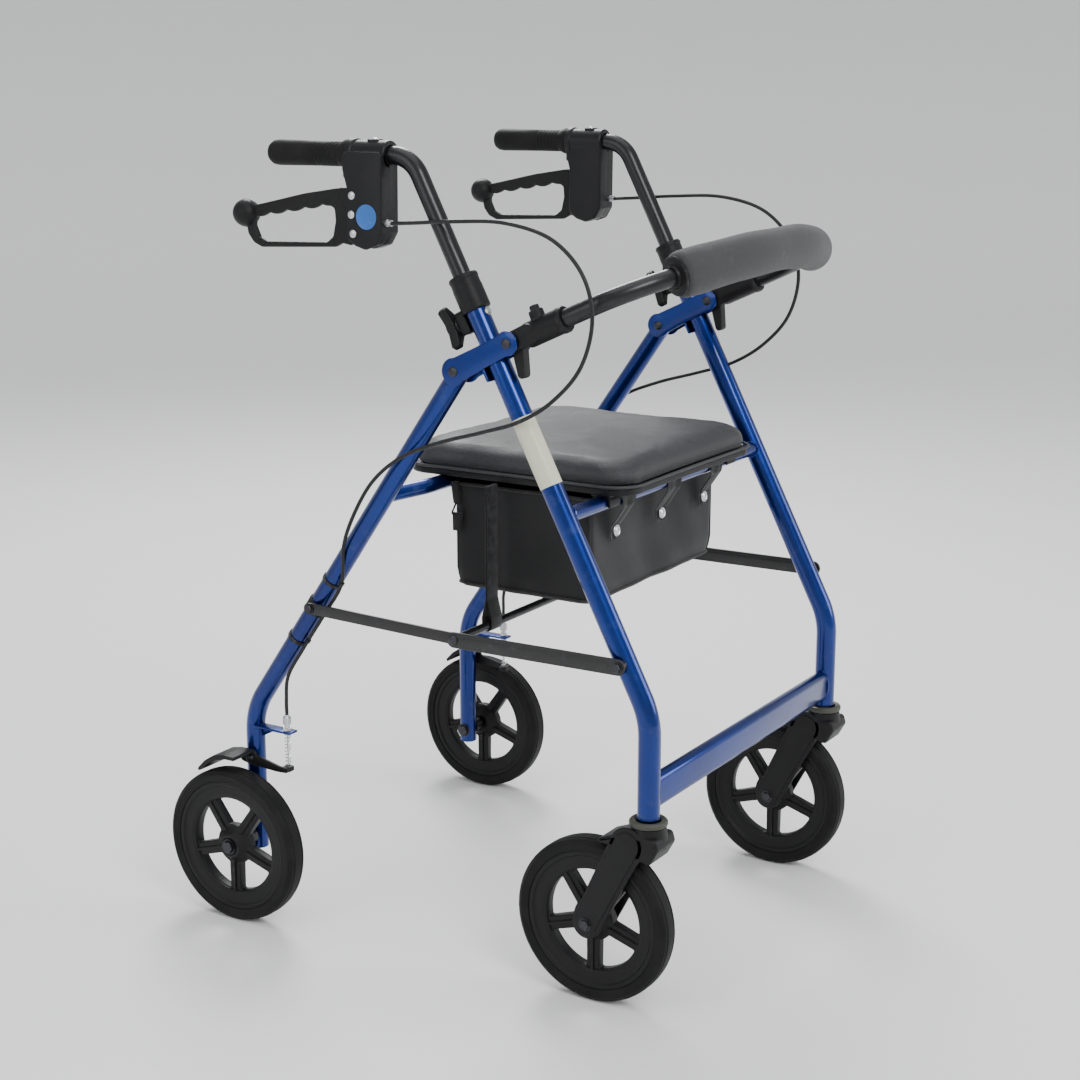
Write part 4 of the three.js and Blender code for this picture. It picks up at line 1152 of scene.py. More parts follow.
# ---- wheels and casters
@dataclass
class Wheel:
    """A solid tyre on a five-spoke moulded centre."""

    layout: Layout
    side: Side
    place: Place
    tyre_t: float = 0.0152
    tyre_half: float = 0.015
    rim_half: float = 0.0118
    rim_t: float = 0.0228
    web_half: float = 0.006
    window_in: float = 0.0262
    spoke_w: float = 0.0172
    barrel_r: float = 0.0205
    spokes: int = 5

    def __post_init__(self) -> None:
        """Reads the axle's place."""
        self.tag = f"{self.place.value}_{{}}_{self.side.tag}"
        self.body = self.tag.format("wheel")
        self.centre = self.layout.pivot(f"{self.place.value}_wheel_spin_{self.side.tag}")
        self.radius = self.centre.z
        low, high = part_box(self.tag.format("hub"))
        self.barrel_half = (high.x - low.x) / 2

    def build(self) -> None:
        """Makes the tyre and the wheel centre."""
        self._tyre()
        self._centre()

    def _tyre(self) -> None:
        """A tyre with two fine grooves round its tread."""
        r, w = self.radius, self.tyre_half
        half = [
            (r - self.tyre_t, 0.0126), (r - 0.0125, 0.0133), (r - 0.006, w), (r - 0.0012, 0.0112),
            (r - 0.0003, 0.0086), (r - 0.0013, 0.0079), (r - 0.0013, 0.0071), (r, 0.0063),
        ]
        profile = [(a, -h) for a, h in half] + half[::-1]
        draft = Draft().lathe(fillet(profile, 0.0012, 3), AXIS_X, self.centre, 96, ring=True)
        piece(draft, self.tag.format("tread"), TYRE, self.body, [self.tag.format("tyre")])

    def _centre(self) -> None:
        """Rim, web with five windows, ribs and hub barrel."""
        rim_out = self.radius - self.tyre_t + 0.0004
        rim_in = rim_out - self.rim_t
        draft = Draft()
        lip = self.rim_half
        side = [
            (rim_in, lip - 0.0042), (rim_in + 0.005, lip - 0.0026), (rim_out - 0.0075, lip - 0.0022),
            (rim_out - 0.0055, lip), (rim_out, lip),
        ]
        flange = [(r, -h) for r, h in side] + side[::-1]
        draft.lathe(fillet(flange, 0.0014, 3), AXIS_X, self.centre, 96, ring=True)
        disc = arc((0, 0), rim_in + 0.006, 0, 360, 96)[:-1]
        windows = []
        half_w = self.spoke_w / 2
        for i in range(self.spokes):
            first = 270 + 360 * i / self.spokes
            last = first + 360 / self.spokes
            outer = degrees(asin((half_w - 0.0005) / (rim_in - 0.001)))
            inner = degrees(asin(half_w / self.window_in))
            ring = arc((0, 0), rim_in - 0.001, first + outer, last - outer, 10)
            ring += arc((0, 0), self.window_in, last - inner, first + inner, 4)
            windows.append(fillet(ring, 0.0045, 4))
        here = seat_matrix(self.centre, AXIS_Y, AXIS_Z)
        draft.plate(disc, self.web_half, 0.0016, here, windows)
        for i in range(self.spokes):
            turn = Matrix.Rotation(radians(180 + 360 / self.spokes * i), 4, "X")
            along = here @ Matrix.Translation((0, (rim_in + self.barrel_r) / 2, 0))
            spot = Matrix.Translation(self.centre) @ turn @ Matrix.Translation(-self.centre) @ along
            size = Vector((0.0035, rim_in - self.barrel_r + 0.004, 2 * self.web_half + 0.0044))
            draft.block(size, spot, 0.0008, 0.0012)
        h = self.barrel_half
        barrel = [
            (0.0, -h + 0.001), (0.0105, -h + 0.001), (0.0115, -h), (0.0145, -h), (0.016, -h + 0.0015),
            (self.barrel_r, -self.web_half - 0.002), (self.barrel_r + 0.004, -self.web_half + 0.0005),
        ]
        barrel += [(a, -b) for a, b in barrel[::-1]]
        draft.lathe(barrel, AXIS_X, self.centre, 48)
        piece(draft, self.tag.format("spokes"), NYLON_HUB, self.body, [self.tag.format("hub")])


@dataclass
class Caster:
    """A moulded fork that swivels under a front leg."""

    layout: Layout
    side: Side
    arm_t: float = 0.005
    arm_in: float = 0.0176
    axle_r: float = 0.0045

    def __post_init__(self) -> None:
        """Reads the stem and the axle."""
        tag = self.side.tag
        self.stem = self.layout.pivot(f"caster_swivel_{tag}")
        self.axle = self.layout.pivot(f"front_wheel_spin_{tag}")
        self.leg_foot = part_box(f"front_leg_{tag}")[0].z
        self.body = f"caster_{tag}"

    def build(self) -> None:
        """Makes the fork and its axle bolt."""
        tag, x = self.side.tag, self.stem.x
        low = 2 * self.axle.z + 0.0045
        top = low + 0.012
        draft = Draft()
        arm_out = self.arm_in + self.arm_t
        sy, ay = self.stem.y, self.axle.y
        arm = link_outline((ay, self.axle.z), (sy + 0.016, low + 0.003), 0.0182, 0.0212, 14)
        rib = link_outline((ay, self.axle.z), (sy + 0.016, low + 0.003), 0.0132, 0.0158, 14)
        for sign in (-1, 1):
            middle = x + sign * (self.arm_in + self.arm_t / 2)
            draft.plate(arm, self.arm_t / 2, 0.0016, side_view(middle))
            draft.plate(rib, 0.0014, 0.0009, side_view(x + sign * (arm_out + 0.0002)))
            boss = Vector((x + sign * (arm_out - 0.002), ay, self.axle.z))
            profile = [(0, 0), (0.0112, 0), (0.0108, 0.0028), (0.0098, 0.0034), (0.0, 0.0034)]
            draft.lathe(profile, AXIS_X * sign, boss, 40)
        crown = [
            (sy - 0.024, low + 0.004), (sy - 0.013, low - 0.016), (sy + 0.006, low - 0.012),
            (sy + 0.030, low - 0.003), (ay - 0.012, low), (ay - 0.016, low + 0.005),
            (sy + 0.024, top + 0.004), (sy - 0.0205, top + 0.004),
        ]
        draft.plate(fillet(crown, 0.006, 5), arm_out, 0.0036, side_view(x), steps=4)
        foot = self.leg_foot - 0.00045
        tall = foot - low
        collar = [
            (0.0, 0.0), (0.0226, 0.0), (0.0226, tall * 0.4), (0.0208, tall - 0.0105),
            (0.0208, tall - 0.0085), (0.0196, tall - 0.0075), (0.0, tall - 0.0075),
        ]
        draft.lathe(collar, AXIS_Z, Vector((x, sy, low)), 48)
        cap = [
            (0.0148, -0.0072), (0.0214, -0.0072), (0.0222, -0.0058), (0.0222, -0.0024), (0.0208, -0.0008),
            (0.0186, 0.0), (0.0148, -0.0012),
        ]
        ring = Draft().lathe(fillet(cap, 0.0008, 3), AXIS_Z, Vector((x, sy, foot)), 48, ring=True)
        piece(ring, f"caster_ring_{tag}", RING, self.body)
        piece(draft, f"caster_moulding_{tag}", PLASTIC, self.body, [f"caster_fork_{tag}"])
        bolt = Draft()
        reach = arm_out + 0.0016
        bolt.rod(self.axle - AXIS_X * reach, self.axle + AXIS_X * reach, self.axle_r - 0.0002)
        for sign in (-1, 1):
            bolt.bolt(self.axle + AXIS_X * (sign * reach), AXIS_X * sign, 0.0066, 0.0038)
        piece(bolt, f"caster_bolt_{tag}", BLACKENED, self.body, [f"front_axle_{tag}"])


# ---- front frame
@dataclass
class FrontFrame:
    """Front legs with the tubes that join them, their brackets and their height clamps."""

    layout: Layout
    leg_r: float = 0.013
    bend_r: float = 0.095
    bend_z: float = 0.354
    top_z: float = 0.818
    bracket_t: float = 0.0025
    label_low: float = 0.603
    label_high: float = 0.677

    def __post_init__(self) -> None:
        """Reads the track and the places of the cross tubes."""
        self.stem = self.layout.pivot("caster_swivel_left")
        self.track = self.stem.x
        self.foot_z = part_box("front_leg_left")[0].z
        self.line = self.layout.front_leg
        self.seat_axis = self.layout.pivot("seat_flip")
        self.bracket_in = self.leg_r + 0.0005

    def build(self) -> None:
        """Makes every piece of the front frame."""
        for side in Side:
            self._leg(side)
            self._bracket(side)
            self._clamp(side)
        self._crossbar()
        self._seat_tube()
        self._label()

    def leg_path(self, x: float) -> list[Vector]:
        """The line of one front leg.

        Args:
            x: the leg's side plane.

        Returns:
            Its points.
        """
        corners = [
            Vector((x, self.stem.y, self.foot_z)),
            Vector((x, self.stem.y, self.bend_z)),
            self.line.at(x, self.top_z),
        ]
        return bent(corners, self.bend_r, 14)

    def _leg(self, side: Side) -> None:
        """The bent leg tube and the bolt of its folding link.

        Args:
            side: the side that it is on.
        """
        x, tag = side.out * self.track, side.tag
        draft = Draft().tube(self.leg_path(x), self.leg_r, 36)
        lip = [(0.0122, 0), (0.0134, 0), (0.0136, 0.0008), (0.0134, 0.0016), (0.0122, 0.0016)]
        draft.lathe(lip, AXIS_Z, Vector((x, self.stem.y, self.foot_z)), 40, ring=True)
        piece(draft, f"leg_tube_front_{tag}", BLUE, "front_frame", [f"front_leg_{tag}"])
        pivot = self.layout.pivot("front_link_pivot")
        at = Vector((x, pivot.y, pivot.z))
        out = AXIS_X * side.out
        bolt = Draft()
        low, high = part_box(f"front_link_{tag}")
        outer = max(abs(low.x), abs(high.x)) - self.track - 0.002
        bolt.rod(at + out * (self.leg_r - 0.004), at + out * (outer - 0.0034 - 0.0003), 0.0072)
        bolt.rod(at + out * self.leg_r, at + out * (outer + 0.0006), 0.0039)
        bolt.bolt(at + out * (outer + 0.0004), out, 0.0058, 0.0036)
        piece(bolt, f"front_link_bolt_{tag}", BLACKENED, "front_frame")

    def _bracket(self, side: Side) -> None:
        """Two dog-bone cheeks riveted through both legs.

        Args:
            side: the side that it is on.
        """
        x, tag = side.out * self.track, side.tag
        rear, front = self.layout.pivot("fold"), self.layout.pivot("backrest_flip")
        a, b = Vector((rear.y, rear.z)), Vector((front.y, front.z))
        along = (b - a).normalized()
        across = Vector((-along.y, along.x))
        waist = (a + b) / 2
        outline = []
        for c, r, start in ((a, 0.016, 62), (b, 0.0142, 242)):
            base = degrees(atan2(along.y, along.x)) + start
            outline += arc(tuple(c), r, base, base + 236, 16)
            outline.append(tuple(waist - across * (0.0128 if c is a else -0.0128)))
        outline = fillet(outline, 0.02, 6)
        draft = Draft()
        for sign in (-1, 1):
            middle = x + sign * (self.bracket_in + self.bracket_t / 2)
            draft.plate(outline, self.bracket_t / 2, 0.0008, side_view(middle))
        web = self.line.at(x, waist.y - 0.009, self.leg_r + 0.0021)
        place = seat_matrix(web, AXIS_X, self.line.up)
        draft.block(Vector((2 * self.bracket_in + 0.001, 0.024, 0.003)), place, 0.0008)
        piece(draft, f"bracket_cheeks_{tag}", BLUE, "front_frame", [f"side_bracket_{tag}"])
        rivets = Draft()
        for pin in (rear, front):
            for sign in (-1, 1):
                face = Vector((x + sign * (self.bracket_in + self.bracket_t), pin.y, pin.z))
                rivets.rivet(face, AXIS_X * sign, 0.0058, 0.0022)
        piece(rivets, f"bracket_rivets_{tag}", BLACKENED, "front_frame")

    def _clamp(self, side: Side) -> None:
        """The sleeve on top of the leg, its screw lug and the front bolt head.

        Args:
            side: the side that it is on.
        """
        x, tag = side.out * self.track, side.tag
        top = self.line.at(x, self.top_z)
        up, back = self.line.up, self.line.back
        profile = [
            (0.0137, -0.028), (0.0162, -0.028), (0.0172, -0.0265), (0.0172, -0.001), (0.0168, 0.001),
            (0.0168, 0.0085), (0.0174, 0.0092), (0.0174, 0.0118), (0.0162, 0.014), (0.0112, 0.014),
            (0.0112, 0.0007), (0.0137, 0.0007),
        ]
        draft = Draft().lathe(fillet(profile, 0.0006, 3), up, top, 48, ring=True)
        lug = top - up * 0.034
        place = seat_matrix(lug + back * 0.0195, AXIS_X, up)
        draft.block(Vector((0.018, 0.027, 0.0125)), place, 0.002, 0.004)
        piece(draft, f"clamp_sleeve_{tag}", PLASTIC, "front_frame", [f"height_collar_{tag}"])
        bolt = Draft().bolt(lug - back * 0.0134, -back, 0.0042, 0.002)
        bolt.rod(lug + back * 0.02, lug + back * 0.0295, 0.0029)
        piece(bolt, f"clamp_screw_{tag}", STEEL, "front_frame")
        knob = Draft()
        outline = []
        for i in range(3):
            outline += arc((0, 0), 0.027, 120 * i - 9, 120 * i + 9, 3)
            outline += arc((0, 0), 0.0135, 120 * i + 38, 120 * i + 82, 3)
        start = lug + back * 0.0287
        star = seat_matrix(start + back * 0.006, AXIS_X, up)
        knob.plate(fillet(outline, 0.0035, 4), 0.006, 0.0028, star, steps=4)
        knob.lathe([(0, -0.0024), (0.009, -0.0024), (0.0098, 0.004), (0.0, 0.004)], back, start, 36)
        cap = [(0, 0), (0.0078, 0), (0.0074, 0.0024), (0.0058, 0.0034), (0, 0.0034)]
        knob.lathe(cap, back, start + back * 0.0112, 36)
        piece(knob, f"clamp_knob_{tag}", PLASTIC, f"knob_{tag}", [f"height_knob_{tag}"])

    def _weld(self, draft: Draft, x: float, out: float, y: float, z: float, a: float, b: float) -> None:
        """A rippled weld bead round a cross tube's end.

        Args:
            draft: where it goes.
            x: the leg's plane.
            out: the sign of X towards that leg.
            y: the tube's place.
            z: the tube's height.
            a: half its depth along Y.
            b: half its height.
        """
        path, radii = [], []
        count = 48
        for k in range(count + 1):
            t = 2 * pi * k / count
            dy, dz = (a + 0.0006) * cos(t), (b + 0.0006) * sin(t)
            lift = sqrt(max(self.leg_r**2 - (dy * 0.96) ** 2, 0.0))
            path.append(Vector((x - out * (lift + 0.0002), y + dy, z + dz)))
            radii.append(0.0015 + 0.0003 * sin(13 * t))
        draft.tube(path[:-1], radii[:-1], 8)

    def _crossbar(self) -> None:
        """The deep bar between the upright parts."""
        low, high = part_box("front_crossbar")
        y, z = (low.y + high.y) / 2, (low.z + high.z) / 2
        half_h, half_t = (high.z - low.z) / 2, (high.y - low.y) / 2
        outline = arc((y, z + half_h - half_t), half_t, 0, 180, 14)
        outline += arc((y, z - half_h + half_t), half_t, 180, 360, 14)
        draft = Draft().plate(outline, self.track - self.leg_r + 0.0035, 0.0004, side_view(0))
        for side in Side:
            self._weld(draft, side.out * self.track, side.out, y, z, half_t, half_h)
        piece(draft, "crossbar_tube", BLUE, "front_frame", ["front_crossbar"])

    def _seat_tube(self) -> None:
        """The front seat tube."""
        low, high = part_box("front_seat_tube")
        r = (high.y - low.y) / 2
        half = self.track - self.leg_r + 0.004
        y, z = self.seat_axis.y, self.seat_axis.z
        draft = Draft().tube([Vector((-half, y, z)), Vector((half, y, z))], r, 32)
        for side in Side:
            self._weld(draft, side.out * self.track, side.out, y, z, r, r)
        piece(draft, "seat_rail_front", BLUE, "front_frame", ["front_seat_tube"])

    def _label(self) -> None:
        """A plain sticker wrapped round the right leg."""
        r0, r1 = self.leg_r + 0.00005, self.leg_r + 0.00035
        start = self.line.at(-self.track, self.label_low)
        tall = (self.label_high - self.label_low) / self.line.up.z
        turns = [radians(-60 + 250 * k / 40) for k in range(41)]
        outer = [(-cos(a), -sin(a)) for a in turns]
        ring = [(c * r1, s * r1) for c, s in outer] + [(c * r0, s * r0) for c, s in outer[::-1]]
        rings = [
            [start + self.line.up * h + AXIS_X * u + self.line.back * v for u, v in ring]
            for h in (0.0, tall)
        ]
        draft = Draft()
        rows = [[draft.bm.verts.new(p) for p in r] for r in rings]
        count = len(ring)
        for i in range(count):
            j = (i + 1) % count
            draft.bm.faces.new((rows[0][i], rows[0][j], rows[1][j], rows[1][i]))
        half = len(outer)
        for row in rows:
            for i in range(half - 1):
                draft.bm.faces.new((row[i], row[i + 1], row[count - 2 - i], row[count - 1 - i]))
        piece(draft, "leg_sticker", STICKER, "front_frame")


# ---- handles and brakes
@dataclass
class Handle:
    """One height-adjustable handle with its grip, brake housing, lever and cable."""

    layout: Layout
    front: FrontFrame
    side: Side
    tube_r: float = 0.0105
    bend_r: float = 0.04
    inside: float = 0.15
    grip_r: float = 0.0145
    lever_off: float = 0.012
    cheek_t: float = 0.0045
    slot_half: float = 0.005
    ball: Flat = (0.238, 0.890)
    ball_r: float = 0.0165
    cable_r: float = 0.0023
    cable_z: float = 0.886

    def __post_init__(self) -> None:
        """Reads the pivots and the grip's place."""
        tag = self.side.tag
        self.x = self.side.out * self.front.track
        self.lever_x = self.x + self.side.out * self.lever_off
        low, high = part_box(f"grip_{tag}")
        self.z = (low.z + high.z) / 2
        self.grip_y = (low.y, high.y)
        self.park = self.layout.pivot(f"park_rock_{tag}")
        self.squeeze = self.layout.pivot(f"lever_squeeze_{tag}")
        self.housing_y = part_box(f"brake_housing_{tag}")[0].y + 0.008
        self.body = f"handle_{tag}"

    def build(self) -> None:
        """Makes the handle's pieces."""
        self._tube()
        self._grip()
        self._housing()
        self._lever()
        self._cable()

    def _tube(self) -> None:
        """The bent tube that slides in the leg."""
        line, tag = self.front.line, self.side.tag
        low = line.at(self.x, self.front.top_z) - line.up * self.inside
        corner = line.at(self.x, self.z)
        end = Vector((self.x, self.grip_y[1] - 0.008, self.z))
        draft = Draft().tube(bent([low, corner, end], self.bend_r, 16), self.tube_r, 32)
        piece(draft, f"handle_bar_{tag}", SATIN, self.body, [f"handle_tube_{tag}"])

    def _grip(self) -> None:
        """A tapering rubber grip with a rounded end and fine rings."""
        y0, y1 = self.grip_y
        length = y1 - y0
        r = self.grip_r
        profile = [(0, 0), (self.tube_r, 0.0)]
        profile += near(r, 0.0, (0.0022, 0), (0.0026, 0.002), (0.002, 0.0075), (0.0004, 0.010))
        for k in range(7):
            at = 0.014 + 0.0052 * k
            profile += [(r - 0.0004, at), (r - 0.0009, at + 0.0008), (r - 0.0004, at + 0.0016)]
        profile += [(r - 0.0002, length * 0.55), (r + 0.0002, length * 0.8)]
        profile += near(r, length, (0.0003, -0.012), (-0.0006, -0.006), (-0.003, -0.0022), (-0.0065, -0.0004))
        draft = Draft().lathe([*profile, (0, length)], AXIS_Y, Vector((self.x, y0, self.z)), 44)
        piece(draft, f"grip_sleeve_{self.side.tag}", GRIP, self.body, [f"grip_{self.side.tag}"])

    def _housing(self) -> None:
        """Clamp round the tube, with two cheeks and a front wall that hold the lever."""
        tag, s = self.side.tag, self.side.out
        front, rear = self.housing_y, self.grip_y[0] - 0.0005
        py, pz, sz = self.park.y, self.park.z, self.squeeze.z
        outline = [
            (front - 0.0005, self.z + 0.004), (front + 0.0005, self.cable_z - 0.012),
            (front + 0.009, pz - 0.013), (front + 0.024, pz - 0.018), (py - 0.002, pz - 0.014),
            (py + 0.009, pz - 0.006), (py + 0.009, sz + 0.009), (rear, self.z - 0.016),
            (rear, self.z + 0.004),
        ]
        shape = fillet(outline, 0.007, 5)
        inner, outer = self.x - s * 0.0135, self.lever_x + s * (self.slot_half + self.cheek_t)
        slot_in = self.lever_x - s * self.slot_half
        draft = Draft()
        draft.plate(shape, abs(slot_in - inner) / 2, 0.0032, side_view((inner + slot_in) / 2), steps=4)
        cheek = outer - s * self.cheek_t / 2
        draft.plate(shape, self.cheek_t / 2, 0.0018, side_view(cheek))
        wall = [(front, self.z), (front + 0.0005, self.cable_z - 0.012), (front + 0.009, pz - 0.0125)]
        wall += [(front + 0.014, pz - 0.0125), (front + 0.014, self.z)]
        half = abs(outer - inner) / 2
        draft.plate(fillet(wall, 0.004, 4), half - 0.0004, 0.003, side_view((inner + outer) / 2), steps=4)
        top, low = self.z + 0.003, self.z - 0.026
        roof = [(front, top), (front, low), (rear, low), (rear, top)]
        draft.plate(fillet(roof, 0.003, 3), half - 0.0006, 0.003, side_view((inner + outer) / 2), steps=4)
        length = rear - front
        clamp = [
            (self.tube_r + 0.0006, 0.0), (0.0152, 0.0), (0.0165, 0.0015), (0.0165, length - 0.0085),
            (0.0182, length - 0.0072), (0.0184, length - 0.0012), (0.0172, length),
            (self.tube_r + 0.0006, length),
        ]
        draft.lathe(fillet(clamp, 0.0008, 3), AXIS_Y, Vector((self.x, front, self.z)), 48, ring=True)
        ear = seat_matrix(Vector((self.x, front + 0.022, self.z + 0.0152)), AXIS_X, AXIS_Y)
        draft.block(Vector((0.015, 0.014, 0.005)), ear, 0.0012, 0.003)
        piece(draft, f"brake_shell_{tag}", HOUSING, self.body, [f"brake_housing_{tag}"])
        steel = Draft()
        out = AXIS_X * s
        spots = ((self.squeeze.y, sz), (py + 0.002, (pz + sz) / 2), (py, pz))
        for y, z in spots:
            steel.rivet(Vector((outer, y, z)), out, 0.0046, 0.0019)
        steel.rivet(Vector((self.x, front + 0.022, self.z + 0.0176)), AXIS_Z, 0.0034, 0.0016)
        nose = Vector((self.lever_x, front, self.cable_z))
        barrel = [(0, 0.001), (0.0042, 0.001), (0.0042, -0.0024), (0.0031, -0.0028), (0.0031, -0.0034)]
        for k in range(3):
            at = -0.0013 * k
            barrel += [(0.0037, at - 0.0036), (0.0037, at - 0.0042), (0.0033, at - 0.0045)]
        barrel += [(0.0036, -0.008), (0, -0.008)]
        steel.lathe(barrel, AXIS_Y, nose, 24)
        piece(steel, f"brake_rivets_{tag}", STEEL, self.body)
        disc = [(0, 0), (0.0142, 0), (0.0142, 0.0009), (0.0136, 0.0014), (0.0124, 0.0012), (0, 0.0012)]
        where = Vector((outer - s * 0.0004, front + 0.021, (pz + sz) / 2 - 0.002))
        badge = Draft().lathe(disc, out, where, 48)
        piece(badge, f"brake_badge_{tag}", BADGE, self.body)

    def _lever(self) -> None:
        """The looped lever with scalloped finger rests and a ball, on its rocker."""
        tag, s = self.side.tag, self.side.out
        sy, sz = self.squeeze.y, self.squeeze.z
        by, bz = self.ball
        draft = Draft()
        root = near(
            sy, sz,
            (-0.007, 0.004), (-0.003, 0.008), (0.024, 0.008), (0.024, -0.054), (0.006, -0.057),
            (-0.004, -0.050), (-0.006, -0.020),
        )
        draft.plate(fillet(root, 0.005, 4), 0.0022, 0.0008, side_view(self.lever_x + s * 0.0023))
        loop = near(
            sy, sz,
            (0.018, 0.0085), (0.018, -0.054), (0.030, -0.060),
        )
        loop += near(
            by, bz,
            (-0.024, -0.039), (-0.012, -0.034), (-0.004, -0.024), (0, -0.006), (-0.010, 0.009),
            (-0.030, 0.013), (-0.090, 0.026),
        )
        y0, z0, y1, z1 = sy + 0.036, sz - 0.009, by - 0.024, bz + 0.001
        bumps, each = 4, 10
        hole = []
        for i in range(bumps * each + 1):
            t = i / (bumps * each)
            wave = 0.0017 * (1 - abs(cos(pi * bumps * t)) * 2)
            hole.append((y0 + (y1 - y0) * t, z0 + (z1 - z0) * t - 0.0026 + wave))
        hole += near(
            by, bz,
            (-0.015, -0.003), (-0.014, -0.014), (-0.020, -0.027), (-0.032, -0.032),
        )
        hole += near(
            sy, sz,
            (0.042, -0.055), (0.033, -0.048), (0.029, -0.030), (0.030, -0.016),
        )
        place = side_view(self.lever_x)
        draft.plate(fillet(loop, 0.009, 6), 0.004, 0.0024, place, [fillet(hole, 0.006, 4)], steps=4)
        draft.ball(Vector((self.lever_x, by, bz)), self.ball_r, AXIS_Y)
        seam = [(self.ball_r - 0.0001, -0.0006), (self.ball_r + 0.0003, 0.0), (self.ball_r - 0.0001, 0.0006)]
        seam.append((self.ball_r - 0.002, 0.0))
        draft.lathe(seam, AXIS_X, Vector((self.lever_x, by, bz)), 60, ring=True)
        piece(draft, f"lever_loop_{tag}", PLASTIC, f"lever_{tag}", [f"brake_lever_{tag}"])
        rocker = link_outline((self.park.y, self.park.z), (sy, sz), 0.0075, 0.0065)
        arm = Draft().plate(rocker, 0.002, 0.0005, side_view(self.lever_x - s * 0.0025))
        arm.rod(
            Vector((self.lever_x - s * 0.002, sy, sz)), Vector((self.lever_x + s * 0.0044, sy, sz)), 0.003
        )
        piece(arm, f"rocker_plate_{tag}", STEEL, f"rocker_{tag}", [f"park_rocker_{tag}"])

    def _cable(self) -> None:
        """The cable's two runs, which meet at one point, and the ties that hold it to the rear leg."""
        tag, s = self.side.tag, self.side.out
        rear = self.layout.rear_leg
        track, r = self.front.track, self.cable_r

        def spot(d: float, y: float, z: float) -> Vector:
            """A point that lies d outboard of the side plane."""
            return Vector((s * (track + d), y, z))

        def on_leg(d: float, z: float, off: float) -> Vector:
            """A point in front of the rear leg."""
            return rear.at(s * (track + d), z) - rear.back * off

        clear = 0.0193
        low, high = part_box(f"cable_adjuster_{tag}")
        wire_x, wire_y = 0.008, (low.y + high.y) / 2
        route = [
            (self.lever_off, self.housing_y - 0.0083, self.cable_z),
            (0.014, -0.006, 0.888), (0.018, -0.061, 0.892), (0.020, -0.132, 0.893),
            (0.020, -0.192, 0.877), (0.020, -0.229, 0.842), (0.021, -0.242, 0.797),
            (0.022, -0.229, 0.744), (0.022, -0.194, 0.704), (clear + 0.002, -0.151, 0.677),
            (clear, -0.101, 0.660), (clear, -0.041, 0.642), (clear, 0.014, 0.619),
            (clear - 0.001, 0.056, 0.586), (clear - 0.001, 0.086, 0.540), (clear - 0.003, 0.102, 0.503),
        ]
        held = [(0.01, 0.462, 0.0163), (0.006, 0.420, 0.0163), (0.006, 0.370, 0.0163), (0.007, 0.330, 0.0193)]
        points = [spot(*p) for p in route] + [on_leg(*p) for p in held]
        points += [spot(wire_x, wire_y, high.z + 0.020), spot(wire_x, wire_y, high.z)]
        curve = spline(points, 9)
        meet = 9 * 9
        node = [f"brake_cable_{tag}"]
        upper = piece(Draft().tube(curve[: meet + 1], r, 14), f"cable_upper_{tag}", SLEEVE, "", node)
        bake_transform(upper)
        lower = piece(Draft().tube(curve[meet:], r, 14), f"cable_lower_{tag}", SLEEVE, "", node)
        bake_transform(lower)
        clips = Draft()
        for z in (0.452, 0.372):
            at = rear.at(self.x, z)
            hold = min(curve, key=lambda p: abs(p.z - z) + abs(p.y - at.y + 0.016))
            for inner, spot_at, sides in ((0.0122, at, 36), (0.0022, hold, 20)):
                band = near(inner, 0.0, (0, -0.0022), (0.0012, -0.0022), (0.0012, 0.0022), (0, 0.0022))
                clips.lathe(band, rear.up, spot_at, sides, ring=True)
        piece(clips, f"cable_ties_{tag}", PLASTIC, "rear_frame")


